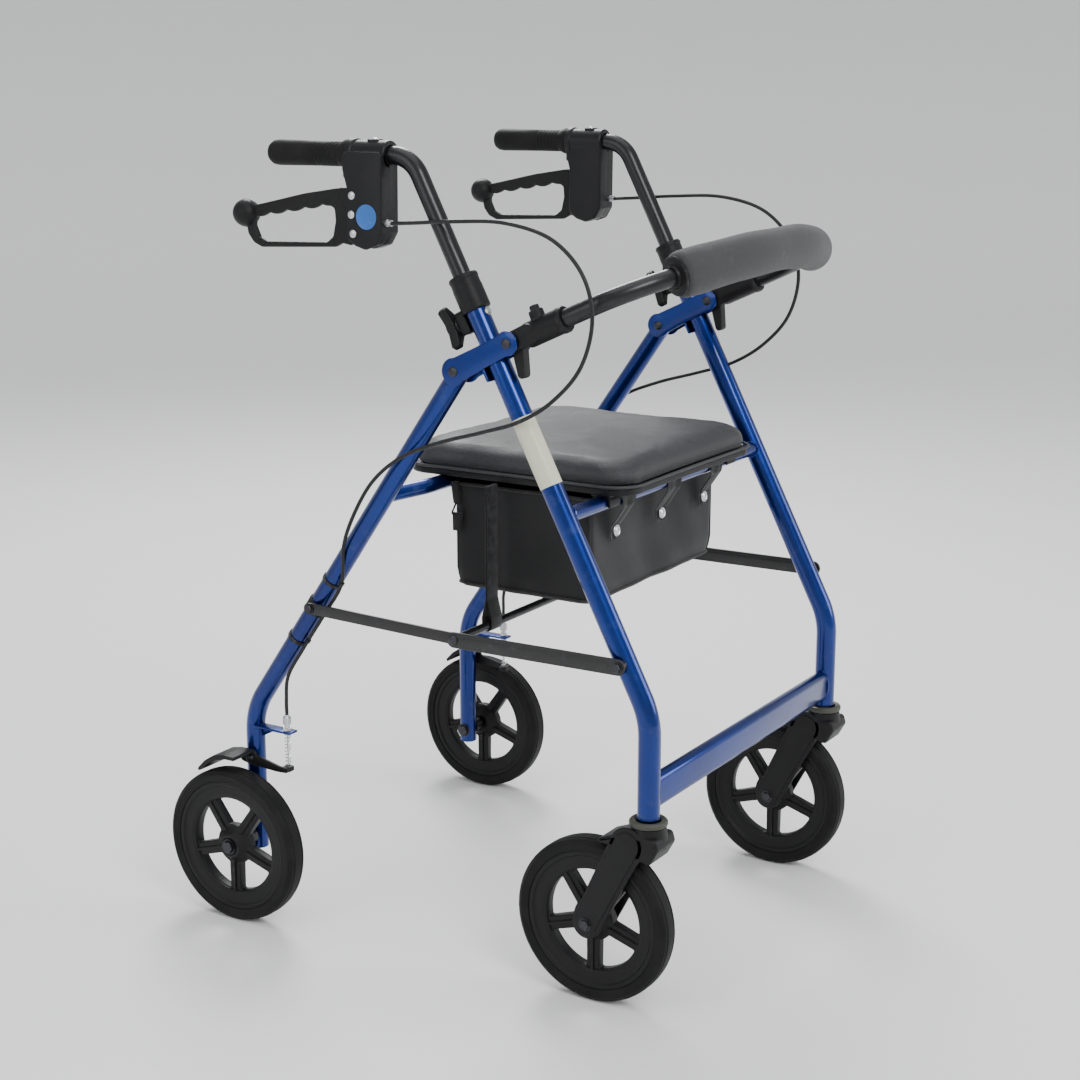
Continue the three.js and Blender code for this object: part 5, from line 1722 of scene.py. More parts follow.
# ---- rear frame
@dataclass
class RearFrame:
    """Rear legs with their seat rail, axles and brakes."""

    layout: Layout
    leg_r: float = 0.012
    bend_r: float = 0.09
    foot_z: float = 0.082
    bend_z: float = 0.266
    top_over: float = 0.009
    rail_r: float = 0.009
    rail_step: float = 0.052
    arm_in: float = 0.014
    arm_t: float = 0.004
    wire_off: float = 0.008
    coils: int = 9

    def __post_init__(self) -> None:
        """Reads the wheel's axle and the side planes."""
        self.axle = self.layout.pivot("rear_wheel_spin_left")
        self.track = self.layout.pivot("caster_swivel_left").x
        self.line = self.layout.rear_leg

    def build(self) -> None:
        """Makes every piece of the rear frame."""
        for side in Side:
            self._leg(side)
            self._axle(side)
            self._brake(side)
        self._rail()

    def _leg(self, side: Side) -> None:
        """The bent rear leg with its cable tab and the bolt of its link.

        Args:
            side: the side that it is on.
        """
        x, tag = side.out * self.track, side.tag
        top = self.layout.pivot("fold")
        corners = [
            Vector((x, top.y, top.z)) + self.line.up * self.top_over,
            Vector((x, self.axle.y, self.bend_z)),
            Vector((x, self.axle.y, self.foot_z)),
        ]
        draft = Draft().tube(bent(corners, self.bend_r, 14), self.leg_r, 34, dome=0.002)
        low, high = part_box(f"cable_adjuster_{tag}")
        wire = Vector((x + side.out * self.wire_off, (low.y + high.y) / 2, low.z + 0.003))
        tab = [
            (wire.y - 0.009, wire.z), (self.axle.y - self.leg_r + 0.004, wire.z),
            (self.axle.y - self.leg_r + 0.004, wire.z + 0.003), (wire.y - 0.009, wire.z + 0.003),
        ]
        draft.plate(fillet(tab, 0.001, 3), 0.008, 0.0008, side_view(wire.x - side.out * 0.001))
        heel = self.axle.y - 0.009
        gusset = [(wire.y + 0.018, wire.z), (heel, wire.z), (heel, wire.z - 0.016)]
        draft.plate(gusset, 0.0014, 0.0005, side_view(x))
        piece(draft, f"leg_tube_rear_{tag}", BLUE, "rear_frame", [f"rear_leg_{tag}"])
        pivot = self.layout.pivot("rear_link_pivot")
        at, out = Vector((x, pivot.y, pivot.z)), AXIS_X * side.out
        link_low, link_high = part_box(f"rear_link_{tag}")
        outer = max(abs(link_low.x), abs(link_high.x)) - self.track
        bolt = Draft().rod(at + out * (self.leg_r - 0.004), at + out * (outer - 0.0037), 0.0068)
        bolt.rod(at + out * self.leg_r, at + out * (outer + 0.0006), 0.0039)
        bolt.bolt(at + out * (outer + 0.0003), out, 0.0058, 0.0034)
        piece(bolt, f"rear_link_bolt_{tag}", BLACKENED, "rear_frame")
        clamp = Draft()
        ring = [(0.0121, -0.009), (0.0138, -0.008), (0.0138, 0.008), (0.0121, 0.009)]
        clamp.lathe(fillet(ring, 0.0008, 3), self.line.up, at, 40, ring=True)
        piece(clamp, f"rear_link_clamp_{tag}", PLASTIC, "rear_frame")

    def _axle(self, side: Side) -> None:
        """The axle bolt through leg and wheel, with its spacer.

        Args:
            side: the side that it is on.
        """
        tag, s = side.tag, side.out
        low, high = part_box(f"rear_axle_{tag}")
        inner, outer = (high.x, low.x) if s < 0 else (low.x, high.x)
        y, z = self.axle.y, self.axle.z
        hub_low, hub_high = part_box(f"rear_hub_{tag}")
        hub_in = hub_high.x if s < 0 else hub_low.x
        draft = Draft().rod(Vector((inner + s * 0.001, y, z)), Vector((outer - s * 0.001, y, z)), 0.0058)
        draft.bolt(Vector((outer - s * 0.0026, y, z)), AXIS_X * s, 0.0082, 0.0052)
        draft.bolt(Vector((inner + s * 0.0036, y, z)), AXIS_X * -s, 0.0082, 0.0048)
        leg = Vector((s * (self.track + self.leg_r + 0.0003), y, z))
        draft.rod(leg, Vector((hub_in - s * 0.0005, y, z)), 0.0092)
        piece(draft, f"axle_bolt_{tag}", BLACKENED, "rear_frame", [f"rear_axle_{tag}"])

    def _brake(self, side: Side) -> None:
        """Barrel adjuster, return spring and the arm with its shoe over the tyre.

        Args:
            side: the side that it is on.
        """
        tag, s = side.tag, side.out
        x = s * self.track
        low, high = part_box(f"cable_adjuster_{tag}")
        wire = Vector((x + s * self.wire_off, (low.y + high.y) / 2, 0))
        at = wire + AXIS_Z * low.z
        tall = high.z - low.z
        draft = Draft().rod(at, at + AXIS_Z * tall, 0.0034)
        draft.lathe([(0, 0.0063), (0.0056, 0.0063), (0.0056, 0.0098), (0, 0.0098)], AXIS_Z, at, 6)
        ribs = [(0, 0.0148)]
        for k in range(6):
            rise = 0.0015 * k
            ribs += [(0.0051, 0.0152 + rise), (0.0051, 0.016 + rise), (0.0047, 0.0164 + rise)]
        draft.lathe([*ribs, (0.004, 0.025), (0, 0.025)], AXIS_Z, at, 28)
        piece(draft, f"barrel_adjuster_{tag}", STEEL, "rear_frame", [f"cable_adjuster_{tag}"])

        spring_low, spring_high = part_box(f"brake_spring_{tag}")
        turns = [2 * pi * self.coils * k / (self.coils * 18) for k in range(self.coils * 18 + 1)]
        rise = spring_high.z - spring_low.z - 0.0014
        coil = []
        for i, a in enumerate(turns):
            z = spring_low.z + 0.0007 + rise * i / (len(turns) - 1)
            coil.append(wire + Vector((0.0032 * cos(a), 0.0032 * sin(a), z)))
        spring = Draft().tube(coil, 0.0006, 8, dome=0.0003)
        foot, head = wire + AXIS_Z * (spring_low.z - 0.004), wire + AXIS_Z * (spring_high.z + 0.002)
        spring.rod(foot, head, 0.0008, 10)
        made = piece(spring, f"return_spring_{tag}", STEEL, "rear_frame", [f"brake_spring_{tag}"])
        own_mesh(made)

        pivot = self.layout.pivot(f"brake_arm_swing_{tag}")
        by, bz, tip = pivot.y, pivot.z, pivot.z - 0.006
        arm = [
            (wire.y - 0.006, tip - 0.003), (wire.y + 0.010, tip - 0.004), (by, bz - 0.008),
            (by + 0.014, bz - 0.005), (by + 0.020, bz + 0.006), (by + 0.012, bz + 0.012),
            (by - 0.006, bz + 0.012), (by - 0.010, bz + 0.006), (wire.y + 0.008, tip + 0.004),
            (wire.y - 0.006, tip + 0.003),
        ]
        middle = x + s * (self.arm_in + self.arm_t / 2)
        draft = Draft().plate(fillet(arm, 0.004, 4), self.arm_t / 2, 0.001, side_view(middle))
        lug = seat_matrix(Vector((x + s * 0.0085, wire.y, tip)), AXIS_X, AXIS_Y)
        draft.block(Vector((0.013, 0.012, 0.006)), lug, 0.001, 0.004)
        arch = near(
            by, bz,
            (-0.006, 0.0082), (-0.004, 0.0126), (0.012, 0.0134), (0.028, 0.0102), (0.043, 0.0008),
            (0.055, -0.0115), (0.054, -0.0152), (0.044, -0.0102), (0.037, -0.0025), (0.025, 0.0040),
            (0.011, 0.0078),
        )
        shoe_x0 = x + s * (self.arm_in + self.arm_t - 0.001)
        shoe_x1 = self.axle.x * s + s * 0.012
        wide, across = abs(shoe_x1 - shoe_x0) / 2, (shoe_x0 + shoe_x1) / 2
        draft.plate(fillet(arch, 0.006, 4), wide, 0.0012, side_view(across))
        piece(draft, f"brake_shoe_{tag}", PLASTIC, f"shoe_{tag}", [f"brake_arm_{tag}"])
        root, neck, face = (
            Vector((x + s * d, by, bz)) for d in (self.leg_r - 0.002, self.arm_in, self.arm_in + self.arm_t)
        )
        stud = Draft().rivet(face, AXIS_X * s, 0.006, 0.0026)
        stud.rod(root, neck, 0.0036)
        piece(stud, f"brake_stud_{tag}", BLACKENED, "rear_frame")

    def _rail(self) -> None:
        """The rear seat rail, stepped forward under the seat."""
        low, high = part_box("rear_seat_tube")
        z = high.z - self.rail_r
        y_mid = low.y + self.rail_r
        rail_z = 0.566
        end_y = self.line.at(0, rail_z).y
        corners = [
            Vector((-self.track, end_y, rail_z)),
            Vector((-self.track + self.rail_step, y_mid, z)),
            Vector((self.track - self.rail_step, y_mid, z)),
            Vector((self.track, end_y, rail_z)),
        ]
        draft = Draft().tube(bent(corners, 0.045, 8), self.rail_r, 30)
        piece(draft, "seat_rail_rear", BLUE, "rear_frame", ["rear_seat_tube"])


# ---- folding links
@dataclass
class Links:
    """Folding links on both sides, joined by a rod with a pull strap."""

    layout: Layout
    front_w: float = 0.019
    rear_w: float = 0.014
    rod_r: float = 0.005

    def build(self) -> None:
        """Makes the links, the rod and the strap."""
        front, rear = self.layout.pivot("front_link_pivot"), self.layout.pivot("rear_link_pivot")
        low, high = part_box("fold_rod")
        knee = ((low.y + high.y) / 2, (low.z + high.z) / 2)
        for side in Side:
            tag, s = side.tag, side.out
            link_low, link_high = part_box(f"rear_link_{tag}")
            x, half = (link_low.x + link_high.x) / 2, (link_high.x - link_low.x) / 2
            shape = link_outline(knee, (rear.y, rear.z), self.rear_w / 2, self.rear_w / 2)
            piece(
                Draft().plate(shape, half, 0.0008, side_view(x)), f"link_bar_rear_{tag}", LINK, "rear_links",
                [f"rear_link_{tag}"],
            )
            x += s * (2 * half + 0.0007)
            shape = link_outline((front.y, front.z), knee, self.front_w / 2, self.front_w / 2)
            bar = Draft().plate(shape, half, 0.001, side_view(x))
            crease = link_outline((front.y + 0.016, front.z), (knee[0] - 0.016, knee[1]), 0.0048, 0.0048)
            bar.plate(crease, half + 0.0006, 0.0006, side_view(x))
            piece(bar, f"link_bar_front_{tag}", LINK, "front_links", [f"front_link_{tag}"])
            cap = Draft().rivet(Vector((x + s * half, knee[0], knee[1])), AXIS_X * s, 0.0062, 0.0026)
            piece(cap, f"knee_rivet_{tag}", BLACKENED, "front_links")
        rod = Draft().rod(Vector((low.x, *knee)), Vector((high.x, *knee)), self.rod_r, 28)
        piece(rod, "pull_rod", SATIN, "front_links", ["fold_rod"])
        self._strap(knee)

    def _strap(self, knee: Flat) -> None:
        """A webbing loop round the rod, sewn to itself.

        Args:
            knee: the knee's (y, z).
        """
        low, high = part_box("fold_strap")
        y, z = knee
        r = self.rod_r + 0.0016
        neck = z + 0.028
        lane = [(y - 0.0012, high.z), (y - 0.0012, neck + 0.004), (y - r, z + 0.010)]
        lane += arc((y, z), r, 180, 360, 12)
        lane += [(y + r, z + 0.010), (y + 0.0012, neck + 0.004), (y + 0.0012, high.z)]
        x = (low.x + high.x) / 2
        half = (high.x - low.x) / 2
        draft = Draft().plate(ribbon(lane, 0.006, 4, 0.0007), half, 0.0003, side_view(x), steps=2)
        for k in range(9):
            at = Vector((x - 0.008 + 0.002 * k, y + 0.0022, neck + 0.010))
            draft.rod(at, at + Vector((0.0013, 0, 0)), 0.0003, 6, 0.0001)
        made = piece(draft, "pull_strap", WEBBING, "front_links", ["fold_strap"])
        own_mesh(made)


# ---- backrest
@dataclass
class Backrest:
    """A bowed tube with a foam sleeve, on two flip-up hinge blocks."""

    layout: Layout
    slope: float = 24.5
    tube_r: float = 0.0105
    arm_x: float = 0.240
    depth: float = 0.228
    pad_r: float = 0.0255
    pad_half: float = 0.174
    button_at: float = 0.040

    def __post_init__(self) -> None:
        """Reads the hinge's place."""
        self.pin = self.layout.pivot("backrest_flip")
        self.track = self.layout.pivot("caster_swivel_left").x
        a = radians(self.slope)
        self.ahead = Vector((0, -cos(a), sin(a)))
        self.up = Vector((0, sin(a), cos(a)))

    def at(self, x: float, d: float, up: float = 0.0) -> Vector:
        """A point d ahead of the hinge in the backrest's plane, and up from it."""
        return Vector((x, self.pin.y, self.pin.z)) + self.ahead * d + self.up * up

    def line(self) -> list[Vector]:
        """The bowed tube's line.

        Returns:
            Its points.
        """
        a, d = self.arm_x, self.depth
        half = [
            (a, 0.030), (a, d * 0.4), (a - 0.006, d * 0.56), (a - 0.034, d * 0.72), (a - 0.070, d * 0.82),
            (a - 0.118, d * 0.91), (a - 0.178, d * 0.98),
        ]
        plan = [(-x, y) for x, y in half] + [(0.0, d)] + half[::-1]
        return spline([self.at(x, y) for x, y in plan], 10)

    def build(self) -> None:
        """Makes the tube, the pad with its end caps and the hinge blocks."""
        line = self.line()
        piece(Draft().tube(line, self.tube_r, 32), "backrest_bow", SATIN, "backrest", ["backrest_tube"])
        self._pad([p for p in line if abs(p.x) <= self.pad_half])
        for side in Side:
            self._hinge(side)

    def _pad(self, core: list[Vector]) -> None:
        """The foam sleeve, a little uneven, and a cap at each end.

        Args:
            core: the tube's line inside the pad.
        """
        fine = spline(core, 3)
        count = len(fine)
        radii = []
        for i in range(count):
            t = i / (count - 1)
            ends = min(t, 1 - t) * count
            soft = 0.0007 * sin(9.0 * t + 0.6) + 0.0004 * sin(23.0 * t)
            radii.append(self.pad_r - 0.003 * exp(-ends / 1.4) + soft)
        draft = Draft().tube(fine, radii, 48, dome=0.0022)
        pad = piece(draft, "foam_sleeve", FOAM, "backrest", ["backrest_pad"])
        caps = Draft()
        profile = [(0, 0.0), (0.0222, 0.0), (0.0226, 0.0022), (0.0214, 0.0036)]
        profile += [(0.0138, 0.0044), (0.0128, 0.0075), (0.0, 0.0075)]
        for at, inward in ((fine[0], fine[1] - fine[0]), (fine[-1], fine[-2] - fine[-1])):
            out = -inward.normalized()
            caps.lathe(profile, out, at + out * 0.0014, 44)
        piece(caps, "foam_caps", PLASTIC, "backrest")

    def _hinge(self, side: Side) -> None:
        """Hinge block with its sleeve, stop finger and push button turret.

        Args:
            side: the side that it is on.
        """
        tag = side.tag
        cx, x = side.out * self.arm_x, side.out * self.track
        half = 0.0123
        neck = self.at(0, 0.026)
        draft = Draft()
        eye = link_outline((self.pin.y, self.pin.z), (neck.y, neck.z), 0.011, 0.0122)
        draft.plate(eye, half, 0.002, side_view(x))
        sleeve = [
            (0.0, 0.0), (0.0142, 0.0), (0.0146, 0.002), (0.0146, 0.046), (0.0154, 0.047), (0.0154, 0.052),
            (0.0142, 0.054), (0.0107, 0.054), (0.0, 0.0538),
        ]
        draft.lathe(sleeve, self.ahead, self.at(cx, 0.020), 44)
        a, b = self.at(0, 0.006, -0.006), self.at(0, -0.002, -0.037)
        draft.plate(link_outline((a.y, a.z), (b.y, b.z), 0.008, 0.005), 0.007, 0.002, side_view(x))
        turret = [(0, 0), (0.0105, 0), (0.0088, 0.003), (0.0085, 0.010), (0.0078, 0.0112), (0.0, 0.0112)]
        draft.lathe(turret, self.up, self.at(cx, self.button_at, self.tube_r + 0.001), 36)
        piece(draft, f"hinge_block_{tag}", PLASTIC, "backrest", [f"backrest_hinge_{tag}"])
        button = [(0, 0), (0.0056, 0), (0.0056, 0.0078), (0.0048, 0.0092), (0.002, 0.0098), (0, 0.0098)]
        spot = self.at(cx, self.button_at, self.tube_r + 0.0085)
        made = Draft().lathe(button, self.up, spot, 32)
        piece(made, f"button_cap_{tag}", HOUSING, f"button_{tag}", [f"push_button_{tag}"])
        slot = Draft()
        seat = self.at(cx, 0.092, self.tube_r - 0.0006)
        place = seat_matrix(seat, AXIS_X, self.ahead)
        slot.block(Vector((0.005, 0.014, 0.0016)), place, 0.0004, 0.0024)
        piece(slot, f"snap_slot_{tag}", STEEL, "backrest")


# ---- seat
@dataclass
class Seat:
    """A padded slab on a board that clips on the front rail."""

    layout: Layout
    grow: float = 0.0035
    corner: float = 0.030
    voxel: float = 0.0055
    frames: int = 20
    pressure: float = 4.0
    seam: float = 0.0011

    def build(self) -> None:
        """Makes the cushion, its piping and the board."""
        low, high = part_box("seat_cushion")
        self._cushion(low, high)
        self._piping(low, high)
        self._board()

    def _outline(self, low: Vector, high: Vector, inset: float, corner: float) -> list[Flat]:
        """A rounded rectangle whose sides pull in a little between the corners.

        Args:
            low: the cushion's lowest corner.
            high: the cushion's highest corner.
            inset: how far it lies inside the box.
            corner: radius of its corners.

        Returns:
            The outline.
        """
        x, y0, y1 = high.x - inset, low.y + inset, high.y - inset
        base = fillet([(-x, y0), (x, y0), (x, y1), (-x, y1)], corner * 1.5, 10)
        found = []
        for i, p in enumerate(base):
            found += between(p, base[(i + 1) % len(base)], 14 if i % 11 == 10 else 1)
        middle = (y0 + y1) / 2
        shaped = []
        for px, py in found:
            across = 1 - (px / x) ** 2
            along = 1 - ((py - middle) / (y1 - middle)) ** 2
            if abs(px) > x - 1e-6:
                px -= copysign(0.0022 * along, px)
            if abs(py - middle) > y1 - middle - 1e-6:
                py -= copysign(0.0022 * across, py - middle)
            shaped.append((px, py))
        return shaped

    def _cushion(self, low: Vector, high: Vector) -> None:
        """A crowned cushion, swelled by cloth simulation from a plainer form.

        Args:
            low: the cushion's lowest corner.
            high: the cushion's highest corner.
        """
        g = self.grow
        draft = Draft()
        levels = [
            (0.0045, 0.0), (g, 0.003), (g, 0.013), (g + 0.0016, 0.0185), (g + 0.0062, 0.0235),
            (g + 0.014, 0.0265),
        ]
        rings = []
        for inset, rise in levels:
            outline = self._outline(low, high, inset, self.corner)
            rings.append([Vector((*p, low.z + rise)) for p in outline])
        top = high.z - 0.0022 - low.z
        outer = rings[-1]
        middle = sum(outer, Vector()) / len(outer)
        for share in (0.82, 0.6, 0.36, 0.12):
            rise = low.z + 0.0265 + (top - 0.0265) * (1 - share**2.2)
            rings.append([Vector((*(middle.xy.lerp(p.xy, share)), rise)) for p in outer])
        rings.append([Vector((middle.x, middle.y, low.z + top))])
        inner = [[Vector((*middle.xy.lerp(p.xy, k), low.z)) for p in rings[0]] for k in (0.12, 0.4, 0.7)]
        draft.skin([[Vector((middle.x, middle.y, low.z))], *inner, *rings])
        obj = draft.object("seat_pad", 60)
        self._swell(obj, low)
        self._dimple(obj, low, high)
        piece(obj, "seat_pad", VINYL, "seat", ["seat_cushion"], sharp=60)

    def _swell(self, obj: bpy.types.Object, low: Vector) -> None:
        """Remeshes the pad, blows it up a little and keeps the result.

        Args:
            obj: the pad.
            low: its lowest corner, below which nothing goes.
        """
        remesh = obj.modifiers.new("even", "REMESH")
        remesh.mode = "VOXEL"
        remesh.voxel_size = self.voxel
        apply_modifiers(obj)
        start = [v.co.copy() for v in obj.data.vertices]
        cloth = obj.modifiers.new("swell", "CLOTH")
        cloth.settings.use_pressure = True
        cloth.settings.uniform_pressure_force = self.pressure
        cloth.settings.effector_weights.gravity = 0.0
        cloth.settings.quality = 4
        cloth.point_cache.frame_end = self.frames
        scene = bpy.context.scene
        for number in range(1, self.frames + 1):
            scene.frame_set(number)
        apply_modifiers(obj)
        scene.frame_set(1)
        cap = self.grow + 0.001
        for v, before in zip(obj.data.vertices, start):
            move = v.co - before
            if move.length > cap:
                move *= cap / move.length
            v.co = before + move
            v.co.z = max(v.co.z, low.z + 0.0002)
        soften(obj)

    def _dimple(self, obj: bpy.types.Object, low: Vector, high: Vector) -> None:
        """Presses the seam line round the side and a little use into the top.

        Args:
            obj: the pad.
            low: the cushion's lowest corner.
            high: the cushion's highest corner.
        """
        middle = (low + high) / 2
        half = (high - low) / 2
        seam_z = low.z + 0.0068
        for v in obj.data.vertices:
            u, w = (v.co.x - middle.x) / half.x, (v.co.y - middle.y) / half.y
            edge = max(abs(u), abs(w))
            if edge > 0.9:
                groove = self.seam * exp(-(((v.co.z - seam_z) / 0.0016) ** 2))
                v.co.x -= copysign(groove, u) * (abs(u) > 0.9)
                v.co.y -= copysign(groove, w) * (abs(w) > 0.9)
            if v.co.z > middle.z:
                use = exp(-((u / 0.55) ** 2 + ((w - 0.1) / 0.5) ** 2))
                fold = 0.0004 * sin(9 * u + 3 * w) * sin(5 * w - 2 * u)
                v.co.z += fold * (1 - edge**4) - 0.0008 * use

    def _piping(self, low: Vector, high: Vector) -> None:
        """The welt round the lower edge."""
        ring = [Vector((x, y, low.z + 0.0022)) for x, y in self._outline(low, high, 0.0016, self.corner)]
        piece(Draft().hoop(ring, 0.0019, sides=12), "seat_welt", VINYL, "seat")

    def _board(self) -> None:
        """The base board and the clips that turn on the front rail, with a foot under each clip."""
        low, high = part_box("seat_board")
        pad_low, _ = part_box("seat_cushion")
        hinge = self.layout.pivot("seat_flip")
        top = pad_low.z - 0.0003
        thick = 0.008
        draft = Draft()
        outline = self._outline(low, high, 0.0, self.corner - 0.004)
        draft.plate(outline, thick / 2, 0.0015, Matrix.Translation((0, 0, top - thick / 2)))
        r, wall = 0.00935, 0.0032
        for x in (-0.1495, 0.1495):
            clip = arc((hinge.y, hinge.z), r + wall, -22, 202, 20)
            clip += arc((hinge.y, hinge.z), r, 202, -22, 20)
            draft.plate(fillet(clip, 0.001, 2), 0.012, 0.0006, side_view(x))
            foot = seat_matrix(Vector((x, hinge.y, top - thick - 0.001)), AXIS_X, AXIS_Y)
            draft.block(Vector((0.026, 0.025, 0.004)), foot, 0.0006, 0.001)
        piece(draft, "seat_base", PLASTIC, "seat", ["seat_board"])


def apply_modifiers(obj: bpy.types.Object) -> None:
    """Replaces an object's mesh by what its modifiers make of it.

    Args:
        obj: the object.
    """
    graph = bpy.context.evaluated_depsgraph_get()
    done = bpy.data.meshes.new_from_object(obj.evaluated_get(graph))
    obj.modifiers.clear()
    obj.data = done


def soften(obj: bpy.types.Object) -> None:
    """Subdivides an object once and shades it smooth.

    Args:
        obj: the object.
    """
    soft = obj.modifiers.new("soft", "SUBSURF")
    soft.levels = soft.render_levels = 1
    apply_modifiers(obj)
    obj.data.polygons.foreach_set("use_smooth", [True] * len(obj.data.polygons))


# ---- bag
@dataclass
class Bag:
    """A soft nylon bag that hangs from both seat rails."""

    layout: Layout
    cloth: float = 0.0014
    rise: float = 0.0055
    strap_w: float = 0.048
    stations: tuple[float, ...] = (-0.112, 0.0, 0.112)

    def __post_init__(self) -> None:
        """Reads the bag's box and the rails."""
        self.low, self.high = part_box("bag")
        self.rail = self.layout.pivot("seat_flip")

    def _ring(self, depth: float, inset: float, round_r: float, sag: float) -> list[Vector]:
        """One level of the bag's wall.

        Args:
            depth: 0 at the rim and 1 at the bottom.
            inset: how far it lies inside the outer box.
            round_r: radius of its corners.
            sag: how far the middle of each side hangs in.

        Returns:
            Its points.
        """
        x = self.high.x - inset
        y0, y1 = self.low.y + inset + 0.001, self.high.y - inset - 0.003 + 0.003 * depth
        base = fillet([(-x, y0), (x, y0), (x, y1), (-x, y1)], round_r, 6)
        middle = (y0 + y1) / 2
        points = []
        for i, p in enumerate(base):
            q = base[(i + 1) % len(base)]
            points += between(p, q, 26 if dist(p, q) > 0.2 else 16 if dist(p, q) > 0.08 else 1)
        z = self.high.z + self.rise - (self.high.z + self.rise - self.low.z - 0.004) * depth
        found = []
        for px, py in points:
            across = max(1 - (px / x) ** 2, 0)
            along = max(1 - ((py - middle) / (y1 - middle)) ** 2, 0)
            folds = 0.0022 * sin(31 * px + 2.5 * depth) * (1 - 0.5 * depth)
            folds += 0.0012 * sin(74 * px - 5 * depth)
            tucks = 0.0020 * sin(44 * py + 3 * depth) + 0.001 * sin(97 * py)
            front = py < middle
            if abs(py - middle) > (y1 - middle) * 0.9:
                py += (sag * across * (1.0 if front else -0.8)) + folds * across
            if abs(px) > x * 0.9:
                px -= copysign(sag * 0.9 * along + tucks * along, px)
            droop = 0.005 * across * along * depth + 0.0012 * across * (1 - depth)
            found.append(Vector((px, py, z - droop)))
        return found

    def build(self) -> None:
        """Makes the shell, its hems, straps, studs and rings."""
        self._shell()
        self._hems()
        self._straps()
        self._corner_rings()

    @staticmethod
    def _sag(depth: float) -> float:
        """How far the middle of a side hangs in at a depth from 0 to 1."""
        return 0.0075 * sin(pi * min(depth * 1.05, 1))

    def _shell(self) -> None:
        """The bag's wall and floor, one cloth thick."""
        levels = []
        for k in range(13):
            depth = k / 12
            inset = 0.001 + 0.004 * max(0.0, depth - 0.82) * 6
            levels.append((depth, inset, 0.010 + 0.006 * depth, self._sag(depth)))
        outer = [self._ring(*level) for level in levels]
        inner = [self._ring(d, i + self.cloth, max(r - self.cloth, 0.004), s) for d, i, r, s in levels]
        for p in inner[-1]:
            p.z += self.cloth
        middle = sum(outer[-1], Vector()) / len(outer[-1])

        def floor(ring: list[Vector], lift: float) -> list[list[Vector]]:
            """Rings that close the bottom towards its middle.

            Args:
                ring: the wall's last ring.
                lift: how far the middle is raised.

            Returns:
                The rings.
            """
            found = []
            for share in (0.92, 0.7, 0.45, 0.2):
                drop = 0.0035 * (1 - share)
                found.append([
                    Vector((*(middle.xy.lerp(p.xy, share)), p.z - drop + 0.0006 * sin(40 * p.x + 30 * p.y)))
                    for p in ring
                ])
            found.append([Vector((middle.x, middle.y, middle.z - 0.004 + lift))])
            return found

        rings = floor(outer[-1], 0.0)[::-1] + outer[::-1] + inner + floor(inner[-1], self.cloth)
        obj = Draft().skin(rings).object("bag_shell", 70)
        soften(obj)
        piece(obj, "bag_shell", NYLON, "front_frame", ["bag"])
        self._gather(obj)

    def _gather(self, obj: bpy.types.Object) -> None:
        """Gives a bag piece a mesh of its own."""
        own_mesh(obj)

    def _hems(self) -> None:
        """Bound edges round the rim and the floor, and up the four corners."""
        draft = Draft()
        for depth, inset, round_r, radius in ((0.0, 0.0004, 0.010, 0.0021), (0.955, 0.0034, 0.016, 0.0015)):
            draft.hoop(self._ring(depth, inset, round_r, self._sag(depth)), radius)
        for sx, sy in ((-1, 0), (1, 0), (1, 1), (-1, 1)):
            path = []
            for k in range(13):
                depth = 0.02 + 0.93 * k / 12
                inset = 0.0036 + 0.004 * max(0.0, depth - 0.82) * 6
                x = sx * (self.high.x - inset - 0.0008)
                y = self.high.y - inset - 0.0035 if sy else self.low.y + inset + 0.0018
                path.append(Vector((x, y, self.high.z - (self.high.z - self.low.z - 0.004) * depth)))
            draft.tube(path, 0.0014, 8, dome=0.0008)
        hems = piece(draft, "bag_binding", WEBBING, "front_frame")
        self._gather(hems)

    def _flap(self, draft: Draft, path: Sequence[Flat], x: float) -> None:
        """A cloth flap that follows a line in the side view and narrows to its stud.

        Args:
            draft: where it goes.
            path: corners of its middle line, as (y, z).
            x: where its middle lies.
        """
        line = [Vector(p) for p in fillet(path, 0.008, 6, closed=False)]
        rings = []
        count = len(line)
        for i, p in enumerate(line):
            t = i / (count - 1)
            step = (line[min(i + 1, count - 1)] - line[max(i - 1, 0)]).normalized()
            taper = max(0.0, (t - 0.62) / 0.38)
            half = self.strap_w / 2 * (1 - 0.58 * taper**1.4)
            outer, inner = [], []
            for k in range(13):
                u = -1 + k / 6
                pucker = taper * (0.0009 * sin(5.2 * u + 31 * x) + 0.0012 * (1 - u * u))
                off = 0.0006 + pucker
                rim = 0.0 if abs(u) < 0.99 else 0.0004
                for face, d in ((outer, off - rim), (inner, pucker - 0.0006)):
                    face.append(Vector((x + half * u, p.x - step.y * d, p.y + step.x * d)))
            rings.append(outer + inner[::-1])
        draft.skin(rings)

    def _straps(self) -> None:
        """Fold-over flaps round the front rail, each closed by a press stud."""
        y, z = self.rail.y, self.rail.z
        r = 0.0099
        wall = self.low.y + 0.001
        flaps, studs = Draft(), Draft()
        for x in self.stations:
            path = [(wall + 0.001, z - 0.016), (wall - 0.001, z + 0.002)]
            path += arc((y, z), r, 38, 180, 12)
            path += [(y - r, z - 0.010), (wall - 0.0062, z - 0.037), (wall - 0.0046, z - 0.053)]
            self._flap(flaps, path, x)
            at = Vector((x, wall - 0.0074, z - 0.042))
            out = Vector((0, -1, 0.1)).normalized()
            profile = [(0, -0.001), (0.0068, -0.001), (0.0072, 0.0008), (0.0062, 0.0018), (0.0048, 0.0014)]
            studs.lathe([*profile, (0.0034, 0.0022), (0.0, 0.0026)], out, at, 32)
        piece(flaps, "bag_flaps", NYLON, "front_frame")
        piece(studs, "bag_studs", STEEL, "front_frame")

